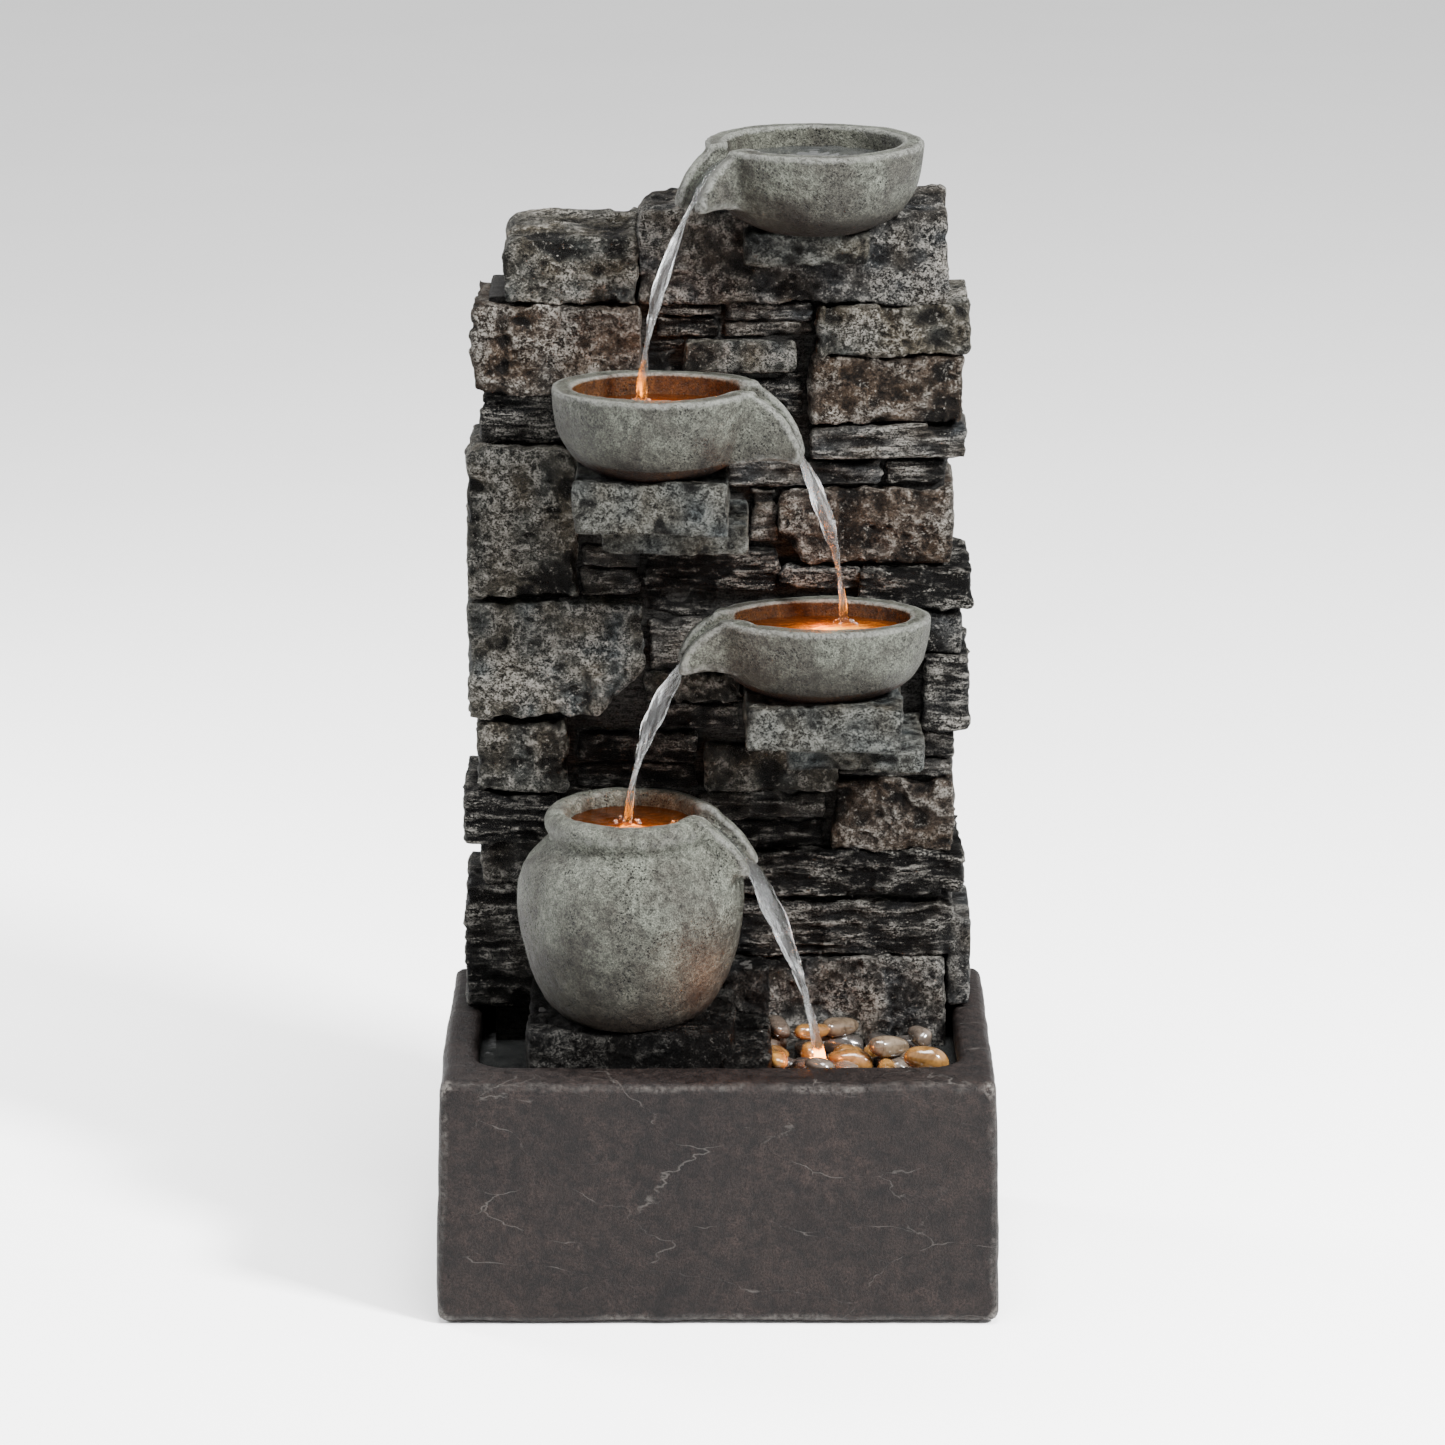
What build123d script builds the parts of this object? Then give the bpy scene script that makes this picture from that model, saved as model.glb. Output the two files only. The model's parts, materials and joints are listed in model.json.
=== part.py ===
"""Four-tier cascading water fountain: a cast trough, a hollow stone-faced wall, three bowls and a pot.

Millimetres. +Z is up and the front faces -Y. The origin is the middle of the footprint, on the floor.
Water is pumped from the trough up a riser inside the wall to the top bowl, and falls from bowl to bowl,
through the pot, and back to the trough over a grate of pebbles.
"""

import os
from math import atan2, cos, degrees, radians, sin

from build123d import *

# --- driving dimensions ---
BASE_WIDTH = 392.0
BASE_FLARE = 4.0  # each side, from the rim down to the floor
BASE_DEPTH = 277.0
RIM_HEIGHT = 180.0
FOOT_GAP = 2.0  # the rubber feet hold the casting this far off the floor
FLOOR_TOP = 14.0
RIM_THICK = 16.0
RIM_SIDE = 24.0
RIM_FRONT = 42.0
BACK_WALL = 8.0
WALL_SHELL = 12.0
FRONT_Y = -BASE_DEPTH / 2
BACK_Y = BASE_DEPTH / 2
POOL_HALF = BASE_WIDTH / 2 - RIM_SIDE
POOL_FRONT = FRONT_Y + RIM_FRONT
MOUTH_CORNER = 28.0

CORE_HALF = 158.0
CORE_FRONT = 46.0
CORE_BACK = BACK_Y - BACK_WALL
CORE_TOP = 706.0
CORE_SHELL = 8.0
CAVITY_HALF = CORE_HALF - CORE_SHELL
CAVITY_FRONT = CORE_FRONT + CORE_SHELL

STONE_CHAMFER = 2.5
CAP_FLAT, CAP_FALL = 15.0, 16.0  # flat front part of a cap stone's top, and how far the rest falls
TOUCH = 0.05  # clearance between solids that only touch

# --- bowls: centre x, centre y, rim height, semi-axes, height, spout heading and reach ---
BOWL_WALL = 14.0
BOWL_FLOOR = 12.0
BOWLS = {
    "bowl_top": dict(x=68, y=30, rim=822, a=77, b=77, height=62, heading=208, reach=102, drop=44),
    "bowl_left": dict(x=-43, y=-36, rim=660, a=73, b=60, height=63, heading=-4, reach=104, drop=53),
    "bowl_right": dict(x=74, y=-26, rim=493, a=77, b=56, height=59, heading=184, reach=103, drop=40),
}
SPOUT_WIDTH = 46.0
CHANNEL_WIDTH = 26.0
CHANNEL_DEPTH = 9.0

POT_X, POT_Y = -62.0, -42.0
POT_BASE = 202.0
POT_RIM = 355.0
POT_LIP = 60.0
POT_MOUTH = 45.0

RISER_X, RISER_TOP_Y, PUMP_Y = 68.0, 66.0, 84.0
RISER_OUTER, RISER_INNER = 7.0, 5.5
LEAD_RADIUS = 2.0
GLAND_X, GLAND_Z = -122.0, 240.0
GLAND_BORE = 3.5
JUNCTION = (-122.0, CAVITY_FRONT + 12.0, 330.0)

LED_RADIUS, LED_HEIGHT = 15.0, 9.0
GRATE_Z = 146.0
GRATE_THICK = 4.0

# --- facing stones: left, right, bottom, top, and how far each stands out of the wall ---
STONES = {
    "stones_cap": [
        (-151, -57, 706.1, 754, 20),
        (-54, 18.5, 706.1, 771, 16),
        (19, 106, 706.1, 737.9, 8),
        (106.5, 161, 706.1, 765, 14),
    ],
    "stones_upper_left": [
        (-173, -57, 641, 702, 20),
        (-168, -109, 603, 639, 8),
        (-107, -2, 604, 639, 4),
        (-52, -25, 641, 677, 4),
    ],
    "stones_upper_middle": [
        (-43, 2, 696, 703, 10),
        (-43, 1, 679, 694, 7),
        (5, 67, 692, 703, 8),
        (5, 67, 681, 690, 5),
        (-23, 56, 656, 677, 14),
        (2, 60, 619, 652, 5),
        (7, 116, 573, 591, 10),
    ],
    "stones_upper_right": [
        (71, 178, 669, 703, 20),
        (67, 174, 619, 667, 18),
        (66, 176, 594, 616, 18),
        (121, 163, 573, 591, 8),
    ],
    "stones_middle_left": [
        (-179, -101, 492, 601, 20),
        (-96, -56, 512, 528, 6),
        (-97, -56, 491, 510, 8),
        (-179, -54, 405, 487, 22),
    ],
    "stones_middle": [
        (-51, 43, 497, 525, 12),
        (45, 101, 497, 512, 12),
        (-50, 20, 527, 540, 5),
        (24, 42, 531, 570, 8),
        (-51, 0, 477, 494, 3),
        (-48, 0, 436, 474, 6),
        (2, 140, 437, 480, 4),
        (-33, 17, 412, 433, 10),
        (-52, -36, 412, 433, 5),
        (-50, 14, 392, 409, 6),
    ],
    "stones_middle_right": [
        (45, 167, 515, 569, 14),
        (103, 181, 483, 512, 18),
        (148, 175, 448, 478, 10),
        (149, 180, 392, 446, 16),
        (150, 169, 371, 389, 8),
        (89, 169, 357, 369, 8),
    ],
    "stones_lower_left": [
        (-173, -109, 347, 399, 16),
        (-101, -16, 367, 389, 10),
        (-101, -16, 348, 365, 6),
        (-183, -117, 309, 345, 18),
        (-114, -16, 309, 345, 4),
        (-171, -125, 275, 307, 8),
        (-122, -15, 215, 305, 2),
        (-183, -131, 182, 272, 14),
    ],
    "stones_lower_right": [
        (-8, 86, 346, 380, 12),
        (-13, 77, 324, 343, 6),
        (-13, 77, 303, 322, 7),
        (84, 170, 303, 354, 14),
        (2, 177, 270, 301, 18),
        (2, 170, 222, 262, 12),
        (26, 165, 150, 219, 16),
        (168, 184, 182, 245, 8),
    ],
}
CUT_CORNER = (-54, 405, 34.0)  # right edge, bottom edge and size of the sloping corner on the pale stone

# --- slabs that carry the bowls: left, right, bottom, top, front ---
SLABS = {
    "slab_top_bowl": [(19, 106, 738, 760, 2)],
    "slabs_left_bowl": [(-99, 6, 562, 597, -74), (-80, 21, 542, 560, -48)],
    "slabs_right_bowl": [(20, 130, 403, 434, -66), (50, 146, 382, 401, -40)],
}


def span(x0, x1, y0, y1, z0, z1):
    """A box from its low and high corners."""
    centre = Pos((x0 + x1) / 2, (y0 + y1) / 2, (z0 + z1) / 2)
    return centre * Box(x1 - x0, y1 - y0, z1 - z0)


def rod(x, y, z0, z1, radius):
    """An upright cylinder."""
    return Pos(x, y, (z0 + z1) / 2) * Cylinder(radius, z1 - z0)


def rod_y(x, z, y0, y1, radius):
    """A cylinder along Y."""
    return Pos(x, (y0 + y1) / 2, z) * Rot(90, 0, 0) * Cylinder(radius, y1 - y0)


def rod_x(y, z, x0, x1, radius):
    """A cylinder along X."""
    return Pos((x0 + x1) / 2, y, z) * Rot(0, 90, 0) * Cylinder(radius, x1 - x0)


def ellipse_tower(x, y, levels):
    """A smooth solid through ellipses given as (height, semi-axis along X, semi-axis along Y)."""
    return loft([Pos(x, y, z) * Ellipse(a, b) for z, a, b in levels])


def tube_path(points, radii):
    return FilletPolyline(*points, radius=radii)


def swept(path, radius):
    """A round rod along a path of straight runs and arcs."""
    start = Plane(origin=path @ 0, z_dir=path % 0)
    return sweep(start * Circle(radius), path=path)


# --- trough ---
def basin_shell():
    foot = Pos(0, 0, FOOT_GAP) * RectangleRounded(BASE_WIDTH + 2 * BASE_FLARE, BASE_DEPTH, 7)
    top = Pos(0, 0, RIM_HEIGHT) * RectangleRounded(BASE_WIDTH, BASE_DEPTH, 7)
    shell = loft([foot, top], ruled=True)
    hollow_half = BASE_WIDTH / 2 - WALL_SHELL
    under_rim = RIM_HEIGHT - RIM_THICK
    shell -= span(-hollow_half, hollow_half, FRONT_Y + WALL_SHELL, CORE_BACK, FLOOR_TOP, under_rim)
    mouth = span(-POOL_HALF, POOL_HALF, POOL_FRONT, CORE_BACK, RIM_HEIGHT - RIM_THICK - 1, RIM_HEIGHT + 1)
    corners = mouth.edges().filter_by(Axis.Z).group_by(Axis.Y)[0]
    shell -= fillet(corners, MOUTH_CORNER)
    # ledges under the grate, along the right side and the front
    side_ledge = span(164, hollow_half, -98, 30, GRATE_Z - 8, GRATE_Z)
    front_ledge = span(34, 164, FRONT_Y + WALL_SHELL, -90, GRATE_Z - 8, GRATE_Z)
    shell += side_ledge + front_ledge
    for x, y in foot_places():
        shell -= rod(x, y, FOOT_GAP - 1, FOOT_GAP + 2, FOOT_RADIUS + TOUCH)
    return shell


FOOT_RADIUS = 13.0


def foot_places():
    return [(sx * 165, sy * 105) for sx in (-1, 1) for sy in (-1, 1)]


def rubber_feet():
    pads = [rod(x, y, 0, FOOT_GAP + 2, FOOT_RADIUS) for x, y in foot_places()]
    return Compound(children=pads)


def pot_plinth():
    """Hollow block under the pot, open below, with arches that let the water through."""
    block = span(-130, 7, -92, CORE_FRONT - TOUCH, FLOOR_TOP, POT_BASE)
    block -= span(-122, -1, -84, CORE_FRONT, FLOOR_TOP - 1, POT_BASE - 10)
    block -= span(-100, -24, -93, -83, FLOOR_TOP - 1, 70)
    block -= span(-131, 8, -50, 10, FLOOR_TOP - 1, 70)
    block -= rod(POT_X, POT_Y, POT_BASE - 11, POT_BASE + 1, 4)
    top_edges = block.faces().sort_by(Axis.Z)[-1].outer_wire().edges()
    return chamfer(top_edges, 2)


def pool_divider():
    """Low wall between the pit by the pot and the pebble pool, with a ledge for the grate."""
    low = span(8, 25, POOL_FRONT + 0.5, 9.9, FLOOR_TOP, 186)
    tall = span(8, 25, 9.9, CORE_FRONT - TOUCH, FLOOR_TOP, 219)
    wall = low + tall + span(25, 33, POOL_FRONT + 0.5, 28, GRATE_Z - 8, GRATE_Z)
    return wall - span(7, 26, -60, 0, FLOOR_TOP - 1, 60)


# --- wall ---
def wall_core():
    """Hollow casting that carries the stones: open below and behind, with an arch for the water."""
    core = span(-CORE_HALF, CORE_HALF, CORE_FRONT, CORE_BACK, FLOOR_TOP, CORE_TOP)
    core -= span(-CAVITY_HALF, CAVITY_HALF, CAVITY_FRONT, CORE_BACK + 1, FLOOR_TOP - 1, CORE_TOP - CORE_SHELL)
    core -= span(-110, 110, CORE_FRONT - 1, CAVITY_FRONT + 1, FLOOR_TOP - 1, 110)
    core += rear_blocks()
    core -= rod(RISER_X, RISER_TOP_Y, CORE_TOP - 20, CORE_TOP + 1, RISER_OUTER + 0.3)
    for _, (x, z) in lead_ducts().items():
        core -= rod_y(x, z, CORE_FRONT - 1, CAVITY_FRONT + 1, LEAD_RADIUS + 0.8)
    for x, z in rear_screw_places():
        core -= rod_y(x, z, PLATE_Y - 16, PLATE_Y + 1, SCREW_SHANK)
    return core


PLATE_THICK = 5.0
PLATE_Y = CORE_BACK - PLATE_THICK
PLATE_BOTTOM = 186.0
PLATE_TOP = CORE_TOP - CORE_SHELL - 0.5
HATCH_HALF = 92.0
HATCH_BOTTOM, HATCH_TOP = 206.0, 392.0
HATCH_FLANGE = 10.0
GASKET = 1.5
SCREW_SHANK = 2.0
SCREW_HEAD = 4.0


def rear_screw_places():
    return [(sx * 141, z) for sx in (-1, 1) for z in (200, 330, 470, 600, 684)]


def rear_blocks():
    """Lugs inside the casting's side walls that take the rear plate's screws."""
    blocks = Part()
    for x, z in rear_screw_places():
        inner = x - 8 if x > 0 else -CAVITY_HALF - 1
        outer = CAVITY_HALF + 1 if x > 0 else x + 8
        blocks += span(inner, outer, PLATE_Y - 18, PLATE_Y, z - 9, z + 9)
    return blocks


def rear_plate():
    """Moulded plate that closes the back of the wall, with the service hatch's opening."""
    half = CAVITY_HALF - 0.4
    plate = span(-half, half, PLATE_Y, CORE_BACK, PLATE_BOTTOM, PLATE_TOP)
    plate -= span(-HATCH_HALF, HATCH_HALF, PLATE_Y - 1, CORE_BACK + 1, HATCH_BOTTOM, HATCH_TOP)
    for x, z in rear_screw_places():
        plate -= rod_y(x, z, PLATE_Y - 1, CORE_BACK + 1, SCREW_SHANK + 0.2)
        plate -= rod_y(x, z, CORE_BACK - 2.2, CORE_BACK + 1, SCREW_HEAD + 0.3)
    for x, z in hatch_screw_places():
        plate -= rod_y(x, z, PLATE_Y - 1, CORE_BACK + 1, SCREW_SHANK + 0.1)
    plate -= rod_y(GLAND_X, GLAND_Z, PLATE_Y - 1, CORE_BACK + 1, GLAND_BODY)
    for z in (430, 462, 494, 526, 558, 590, 622, 654):
        for x in (-60, 0, 60):
            plate -= span(x - 22, x + 22, PLATE_Y - 1, CORE_BACK + 1, z - 2, z + 2)
    return plate


def screw_y(x, z, y_head, length, head, shank):
    """A pan-head screw along Y: its head's outer face is at y_head + 2."""
    shank_part = rod_y(x, z, y_head - length, y_head, shank)
    slot = span(x - 0.6, x + 0.6, y_head + 1.2, y_head + 3, z - head * 0.7, z + head * 0.7)
    return shank_part + rod_y(x, z, y_head, y_head + 2, head) - slot


def rear_plate_screws():
    shank = SCREW_SHANK - TOUCH
    screws = [screw_y(x, z, CORE_BACK - 2.1, 14, SCREW_HEAD, shank) for x, z in rear_screw_places()]
    return Compound(children=screws)


def hatch_screw_places():
    edge = HATCH_HALF + HATCH_FLANGE / 2
    return [(sx * edge, z) for sx in (-1, 1) for z in (HATCH_BOTTOM + 20, HATCH_TOP - 20)]


def service_hatch():
    """Lift-off panel: a plug that fills the opening and a flange that covers its edge."""
    side, bottom, top = HATCH_HALF - 0.4, HATCH_BOTTOM + 0.4, HATCH_TOP - 0.4
    plug = span(-side, side, PLATE_Y, CORE_BACK + GASKET, bottom, top)
    reach = HATCH_HALF + HATCH_FLANGE
    low, high = HATCH_BOTTOM - HATCH_FLANGE, HATCH_TOP + HATCH_FLANGE
    flange = span(-reach, reach, CORE_BACK + GASKET, CORE_BACK + GASKET + 3.5, low, high)
    upright = flange.edges().filter_by(Axis.Y)
    panel = plug + fillet(upright, 6)
    grip = span(-30, 30, CORE_BACK - 2, CORE_BACK + 6, HATCH_TOP - 34, HATCH_TOP - 14)
    panel -= grip
    for x, z in hatch_screw_places():
        panel -= rod_y(x, z, PLATE_Y - 1, CORE_BACK + 6, SCREW_SHANK + 0.1)
        panel -= rod_y(x, z, CORE_BACK + GASKET + 1.5, CORE_BACK + 6, SCREW_HEAD + 0.3)
    return panel


def hatch_gasket():
    reach = HATCH_HALF + HATCH_FLANGE - 1
    ring = span(-reach, reach, CORE_BACK, CORE_BACK + GASKET, HATCH_BOTTOM - 9, HATCH_TOP + 9)
    hole = span(-HATCH_HALF, HATCH_HALF, CORE_BACK - 1, CORE_BACK + 3, HATCH_BOTTOM, HATCH_TOP)
    for x, z in hatch_screw_places():
        ring -= rod_y(x, z, CORE_BACK - 1, CORE_BACK + 3, SCREW_SHANK + 0.1)
    return ring - hole


def hatch_screws():
    head_y = CORE_BACK + GASKET + 1.5
    screws = [screw_y(x, z, head_y, 10, SCREW_HEAD, SCREW_SHANK) for x, z in hatch_screw_places()]
    return Compound(children=screws)


def falling_back(stone, front, z1):
    """Cut a cap stone's top so that it falls away towards the back."""
    slope = degrees(atan2(CAP_FALL, CORE_BACK - front - CAP_FLAT))
    cutter = Pos(0, front + CAP_FLAT, z1) * Rot(-slope, 0, 0) * span(-BASE_WIDTH, BASE_WIDTH, 0, 200, 0, 60)
    return stone - cutter


def facing_stone(x0, x1, z0, z1, proud):
    """A stone bonded to the wall: one at the edge also wraps round the side of the casting."""
    front = CORE_FRONT - proud
    wraps = x0 < -CORE_HALF or x1 > CORE_HALF or z0 > CORE_TOP
    back = CORE_BACK if wraps else CORE_FRONT
    stone = span(x0, x1, front, back, z0, z1)
    size = min(STONE_CHAMFER, proud / 2, (z1 - z0) / 4)
    stone = chamfer(stone.faces().sort_by(Axis.Y)[0].edges(), size)
    if wraps and z0 < CORE_TOP:
        stone -= span(-CORE_HALF, CORE_HALF, CORE_FRONT, CORE_BACK + 1, 0, CORE_TOP + 10)
    return stone


def stone_group(name):
    stones = []
    for x0, x1, z0, z1, proud in STONES[name]:
        stone = facing_stone(x0, x1, z0, z1, proud)
        if (x1, z0) == CUT_CORNER[:2]:
            wedge = Pos(x1, 0, z0) * Rot(0, 45, 0) * Box(CUT_CORNER[2], 2 * BASE_DEPTH, CUT_CORNER[2])
            stone -= wedge
        if z0 > CORE_TOP and x0 < RISER_X < x1:
            stone -= rod(RISER_X, RISER_TOP_Y, z0 - 1, z1 + 1, RISER_OUTER + 0.3)
        elif z0 > CORE_TOP:
            top_bowl = BOWLS["bowl_top"]
            stone = falling_back(stone, CORE_FRONT - proud, z1)
            under = top_bowl["rim"] - top_bowl["height"] - 1
            stone -= rod(top_bowl["x"], top_bowl["y"], under, top_bowl["rim"], 61)
        for x, z in lead_ducts().values():
            if x0 < x < x1 and z0 < z < z1:
                stone -= rod_y(x, z, 0, CORE_FRONT + 1, LEAD_RADIUS + 0.8)
        stones.append(stone)
    return Compound(children=stones)


# --- slabs ---
def slab_group(name):
    slabs = []
    for x0, x1, z0, z1, front in SLABS[name]:
        back = CORE_BACK if z0 > CORE_TOP else CORE_FRONT - TOUCH
        slab = span(x0, x1, front, back, z0, z1)
        slab = chamfer(slab.faces().sort_by(Axis.Y)[0].edges(), STONE_CHAMFER)
        if z0 > CORE_TOP:
            slab -= rod(RISER_X, RISER_TOP_Y, z0 - 1, z1 + 1, RISER_OUTER + 0.3)
        slabs.append(slab)
    for bowl, (x, z) in lead_ducts().items():
        if bowl != "pot" and SLAB_OF[bowl] == name:
            duct = span(x - 3, x + 3, BOWLS[bowl]["y"] - 6, CORE_FRONT + 1, z - 3, SLABS[name][0][3] + 1)
            slabs[0] -= duct
    return Compound(children=slabs)


SLAB_OF = {"bowl_left": "slabs_left_bowl", "bowl_right": "slabs_right_bowl"}
DUCT_DROP = 13.0


def lead_ducts():
    """Where each light's lead goes through the wall: x and z of its hole."""
    holes = {bowl: (BOWLS[bowl]["x"], SLABS[SLAB_OF[bowl]][0][3] - DUCT_DROP) for bowl in SLAB_OF}
    holes["pot"] = (POT_X, POT_BASE - 30)
    return holes


# --- bowls ---
def spout_parts(reach, start, drop):
    """A spout heading +X from the origin at rim height: its solid, and the channel cut in its top."""
    rx, rz = reach - start, drop
    quadrant = Pos(rx / 2, rz / 2) * Rectangle(rx, rz)
    outline = (Ellipse(rx, rz) & quadrant).faces()[0]
    inner = (Ellipse(rx - CHANNEL_DEPTH, rz - CHANNEL_DEPTH) & quadrant).faces()[0]
    upright = Plane(origin=(start, 0, -drop), x_dir=(1, 0, 0), z_dir=(0, -1, 0))
    solid = extrude(upright * outline, SPOUT_WIDTH / 2, both=True)
    solid = fillet(solid.edges().group_by(Axis.Z)[0].filter_by(Axis.X), 12)
    channel = extrude(upright * outline, CHANNEL_WIDTH / 2, both=True)
    channel -= extrude(upright * inner, CHANNEL_WIDTH, both=True)
    channel += span(start - 24, start + 0.01, -CHANNEL_WIDTH / 2, CHANNEL_WIDTH / 2, -CHANNEL_DEPTH, 0)
    return solid, channel


def bowl_casting(name):
    d = BOWLS[name]
    x, y, rim, a, b, height = d["x"], d["y"], d["rim"], d["a"], d["b"], d["height"]
    foot = rim - height
    shape = ((0, 0.50), (0.14, 0.72), (0.40, 0.90), (0.70, 0.975), (1.0, 1.0))
    body = ellipse_tower(x, y, [(foot + t * height, k * a, k * b) for t, k in shape])
    floor, depth = foot + BOWL_FLOOR, height - BOWL_FLOOR
    inside = ((0, 0.50), (0.25, 0.78), (0.60, 0.94), (1.06, 1.0))
    hollow = ellipse_tower(
        x, y, [(floor + t * depth, k * (a - BOWL_WALL), k * (b - BOWL_WALL)) for t, k in inside]
    )
    heading = radians(d["heading"])
    across = 1 / ((cos(heading) / (a - BOWL_WALL)) ** 2 + (sin(heading) / (b - BOWL_WALL)) ** 2) ** 0.5
    solid, channel = spout_parts(d["reach"], across, d["drop"])
    place = Pos(x, y, rim) * Rot(0, 0, d["heading"])
    bowl = body + place * solid - hollow - place * channel
    if name in SLAB_OF:
        bowl -= rod(x, y, foot - 1, floor + 1, LEAD_RADIUS + 0.8)
    else:
        bowl -= rod(RISER_X, RISER_TOP_Y, foot - 1, rim - 20, GROMMET_RADIUS)
    return bowl


GROMMET_RADIUS = 9.5


def pot_casting():
    outer = [(0, 0), (46, 0), (58, 9), (74, 44), (81, 88), (76, 116), (62, 134), (55, 139)]
    body_side = Spline(*[(r, z) for r, z in outer[1:]], tangents=[(1, 0.4), (-1, 0.3)])
    height = POT_RIM - POT_BASE
    lip = [(55, 139), (POT_LIP, 143), (POT_LIP, 150), (56, height), (POT_MOUTH + 2, height)]
    mouth = (POT_MOUTH, POT_RIM - POT_BASE - 3)
    inner = [mouth, (POT_MOUTH, 136), (66, 116), (72, 88), (65, 44), (44, 10), (0, 10)]
    outline = Line((0, 0), (46, 0)) + body_side + Polyline(*lip, *inner, (0, 0))
    profile = Plane.XZ * make_face(outline.edges())
    pot = Pos(POT_X, POT_Y, POT_BASE) * revolve(profile, Axis.Z, 360)
    solid, channel = spout_parts(POT_REACH, POT_MOUTH + 2, POT_DROP)
    place = Pos(POT_X, POT_Y, POT_RIM) * Rot(0, 0, POT_HEADING)
    hollow = rod(POT_X, POT_Y, POT_RIM - 30, POT_RIM + 1, POT_MOUTH)
    inside = Plane.XZ * make_face(Polyline((0, 136), *inner[1:], (0, 136)).edges())
    belly = revolve(inside, Axis.Z, 360)
    solid = place * solid - hollow - Pos(POT_X, POT_Y, POT_BASE) * belly
    pot = pot + solid - place * channel
    return pot - rod(POT_X, POT_Y, POT_BASE - 1, POT_BASE + 12, LEAD_RADIUS + 0.8)


POT_REACH, POT_DROP, POT_HEADING = 90.0, 40.0, -11.0


# --- lights ---
def led_places():
    """Centre x, centre y and base z of each light."""
    places = {}
    for name in SLAB_OF:
        d = BOWLS[name]
        places[name] = (d["x"], d["y"], d["rim"] - d["height"] + BOWL_FLOOR)
    places["pot"] = (POT_X, POT_Y, POT_BASE + 10)
    places["pool"] = (84.0, -44.0, GRATE_Z - LED_HEIGHT - 6)
    return places


def led_housing(x, y, z):
    body = rod(x, y, z + TOUCH, z + LED_HEIGHT, LED_RADIUS)
    body -= rod(x, y, z + 4, z + LED_HEIGHT + 1, LED_RADIUS - 3)
    return body


def led_lens(x, y, z):
    seat = rod(x, y, z + 4 + TOUCH, z + LED_HEIGHT, LED_RADIUS - 3 - TOUCH)
    dome = Pos(x, y, z + LED_HEIGHT - 20) * Sphere(23.3)
    return seat + (dome & rod(x, y, z + LED_HEIGHT, z + LED_HEIGHT + 10, LED_RADIUS - 3 - TOUCH))


def lights():
    parts = {}
    for name, (x, y, z) in led_places().items():
        parts[f"led_housing_{name}"] = led_housing(x, y, z)
        parts[f"led_lens_{name}"] = led_lens(x, y, z)
    return parts


def led_bracket():
    """Angle bracket on the pool divider that holds the pool's light under the grate."""
    x, y, z = led_places()["pool"]
    arm = span(25, x + LED_RADIUS, y - 14, y + 14, z - 3, z)
    bracket = arm + span(25, 28, y - 14, y + 14, z - 34, z)
    return bracket - rod(x, y, z - 4, z + 1, LEAD_RADIUS + 0.8)


def junction_points():
    """Where each lead meets the junction box, on its underside and top."""
    x, y, z = JUNCTION
    return {
        "bowl_left": (x + 9, y, z + 18),
        "bowl_right": (x - 9, y, z + 18),
        "pot": (x + 12, y, z - 18),
        "pool": (x + 4, y, z - 18),
        "pump": (x - 4, y, z - 18),
        "trunk": (x - 12, y, z - 18),
    }


def junction_box():
    x, _, z = JUNCTION
    box = span(x - 20, x + 20, CAVITY_FRONT, CAVITY_FRONT + 18, z - 18, z + 18)
    box = fillet(box.edges().filter_by(Axis.Y), 3)
    box -= span(x - 17, x + 17, CAVITY_FRONT + 3, CAVITY_FRONT + 19, z - 15, z + 15)
    return box


def junction_lid():
    x, _, z = JUNCTION
    lid = span(x - 20, x + 20, CAVITY_FRONT + 18, CAVITY_FRONT + 20, z - 18, z + 18)
    return fillet(lid.edges().filter_by(Axis.Y), 3)


def bowl_leads():
    """Leads that leave a bowl through its slab and run down inside the wall."""
    ends, holes, lights = junction_points(), lead_ducts(), led_places()
    x, z = holes["bowl_left"]
    y, top = lights["bowl_left"][1:]
    near = CAVITY_FRONT + 12
    end = ends["bowl_left"]
    left = [(x, y, top), (x, y, z), (x, near, z), (x, near, 404), (end[0], near, 378), end]
    x, z = holes["bowl_right"]
    y, top = lights["bowl_right"][1:]
    far = CAVITY_FRONT + 27
    end = ends["bowl_right"]
    down = [(20, near + 3, 400), (-62, far, 394)]
    right = [(x, y, top), (x, y, z), (x, near - 2, z), *down, (end[0], near, 390), end]
    return {
        "lead_bowl_left": swept(tube_path(left, [9, 11, 20, 12]), LEAD_RADIUS),
        "lead_bowl_right": swept(tube_path(right, [9, 9, 40, 40, 14]), LEAD_RADIUS),
    }


def low_leads():
    """Leads from the pot's and the pool's lights up to the junction box."""
    ends, lights = junction_points(), led_places()
    x, z = lead_ducts()["pot"]
    y_in = CAVITY_FRONT + 18
    end = ends["pot"]
    up = [(x, y_in + 2, z + 60), (end[0], end[1], z + 90)]
    pot = [(x, POT_Y, POT_BASE + 10), (x, POT_Y, z), (x, y_in, z), *up, end]
    x, y, z = lights["pool"]
    end = ends["pool"]
    along = [(x, 70, 84), (0, 78, 92), (end[0] + 30, 72, 130)]
    pool = [(x, y, z), (x, y, 90), *along, (end[0], end[1], 190), end]
    return {
        "lead_pot": swept(tube_path(pot, [10, 14, 20, 14]), LEAD_RADIUS),
        "lead_pool": swept(tube_path(pool, [20, 40, 40, 30, 30]), LEAD_RADIUS),
    }


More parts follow.
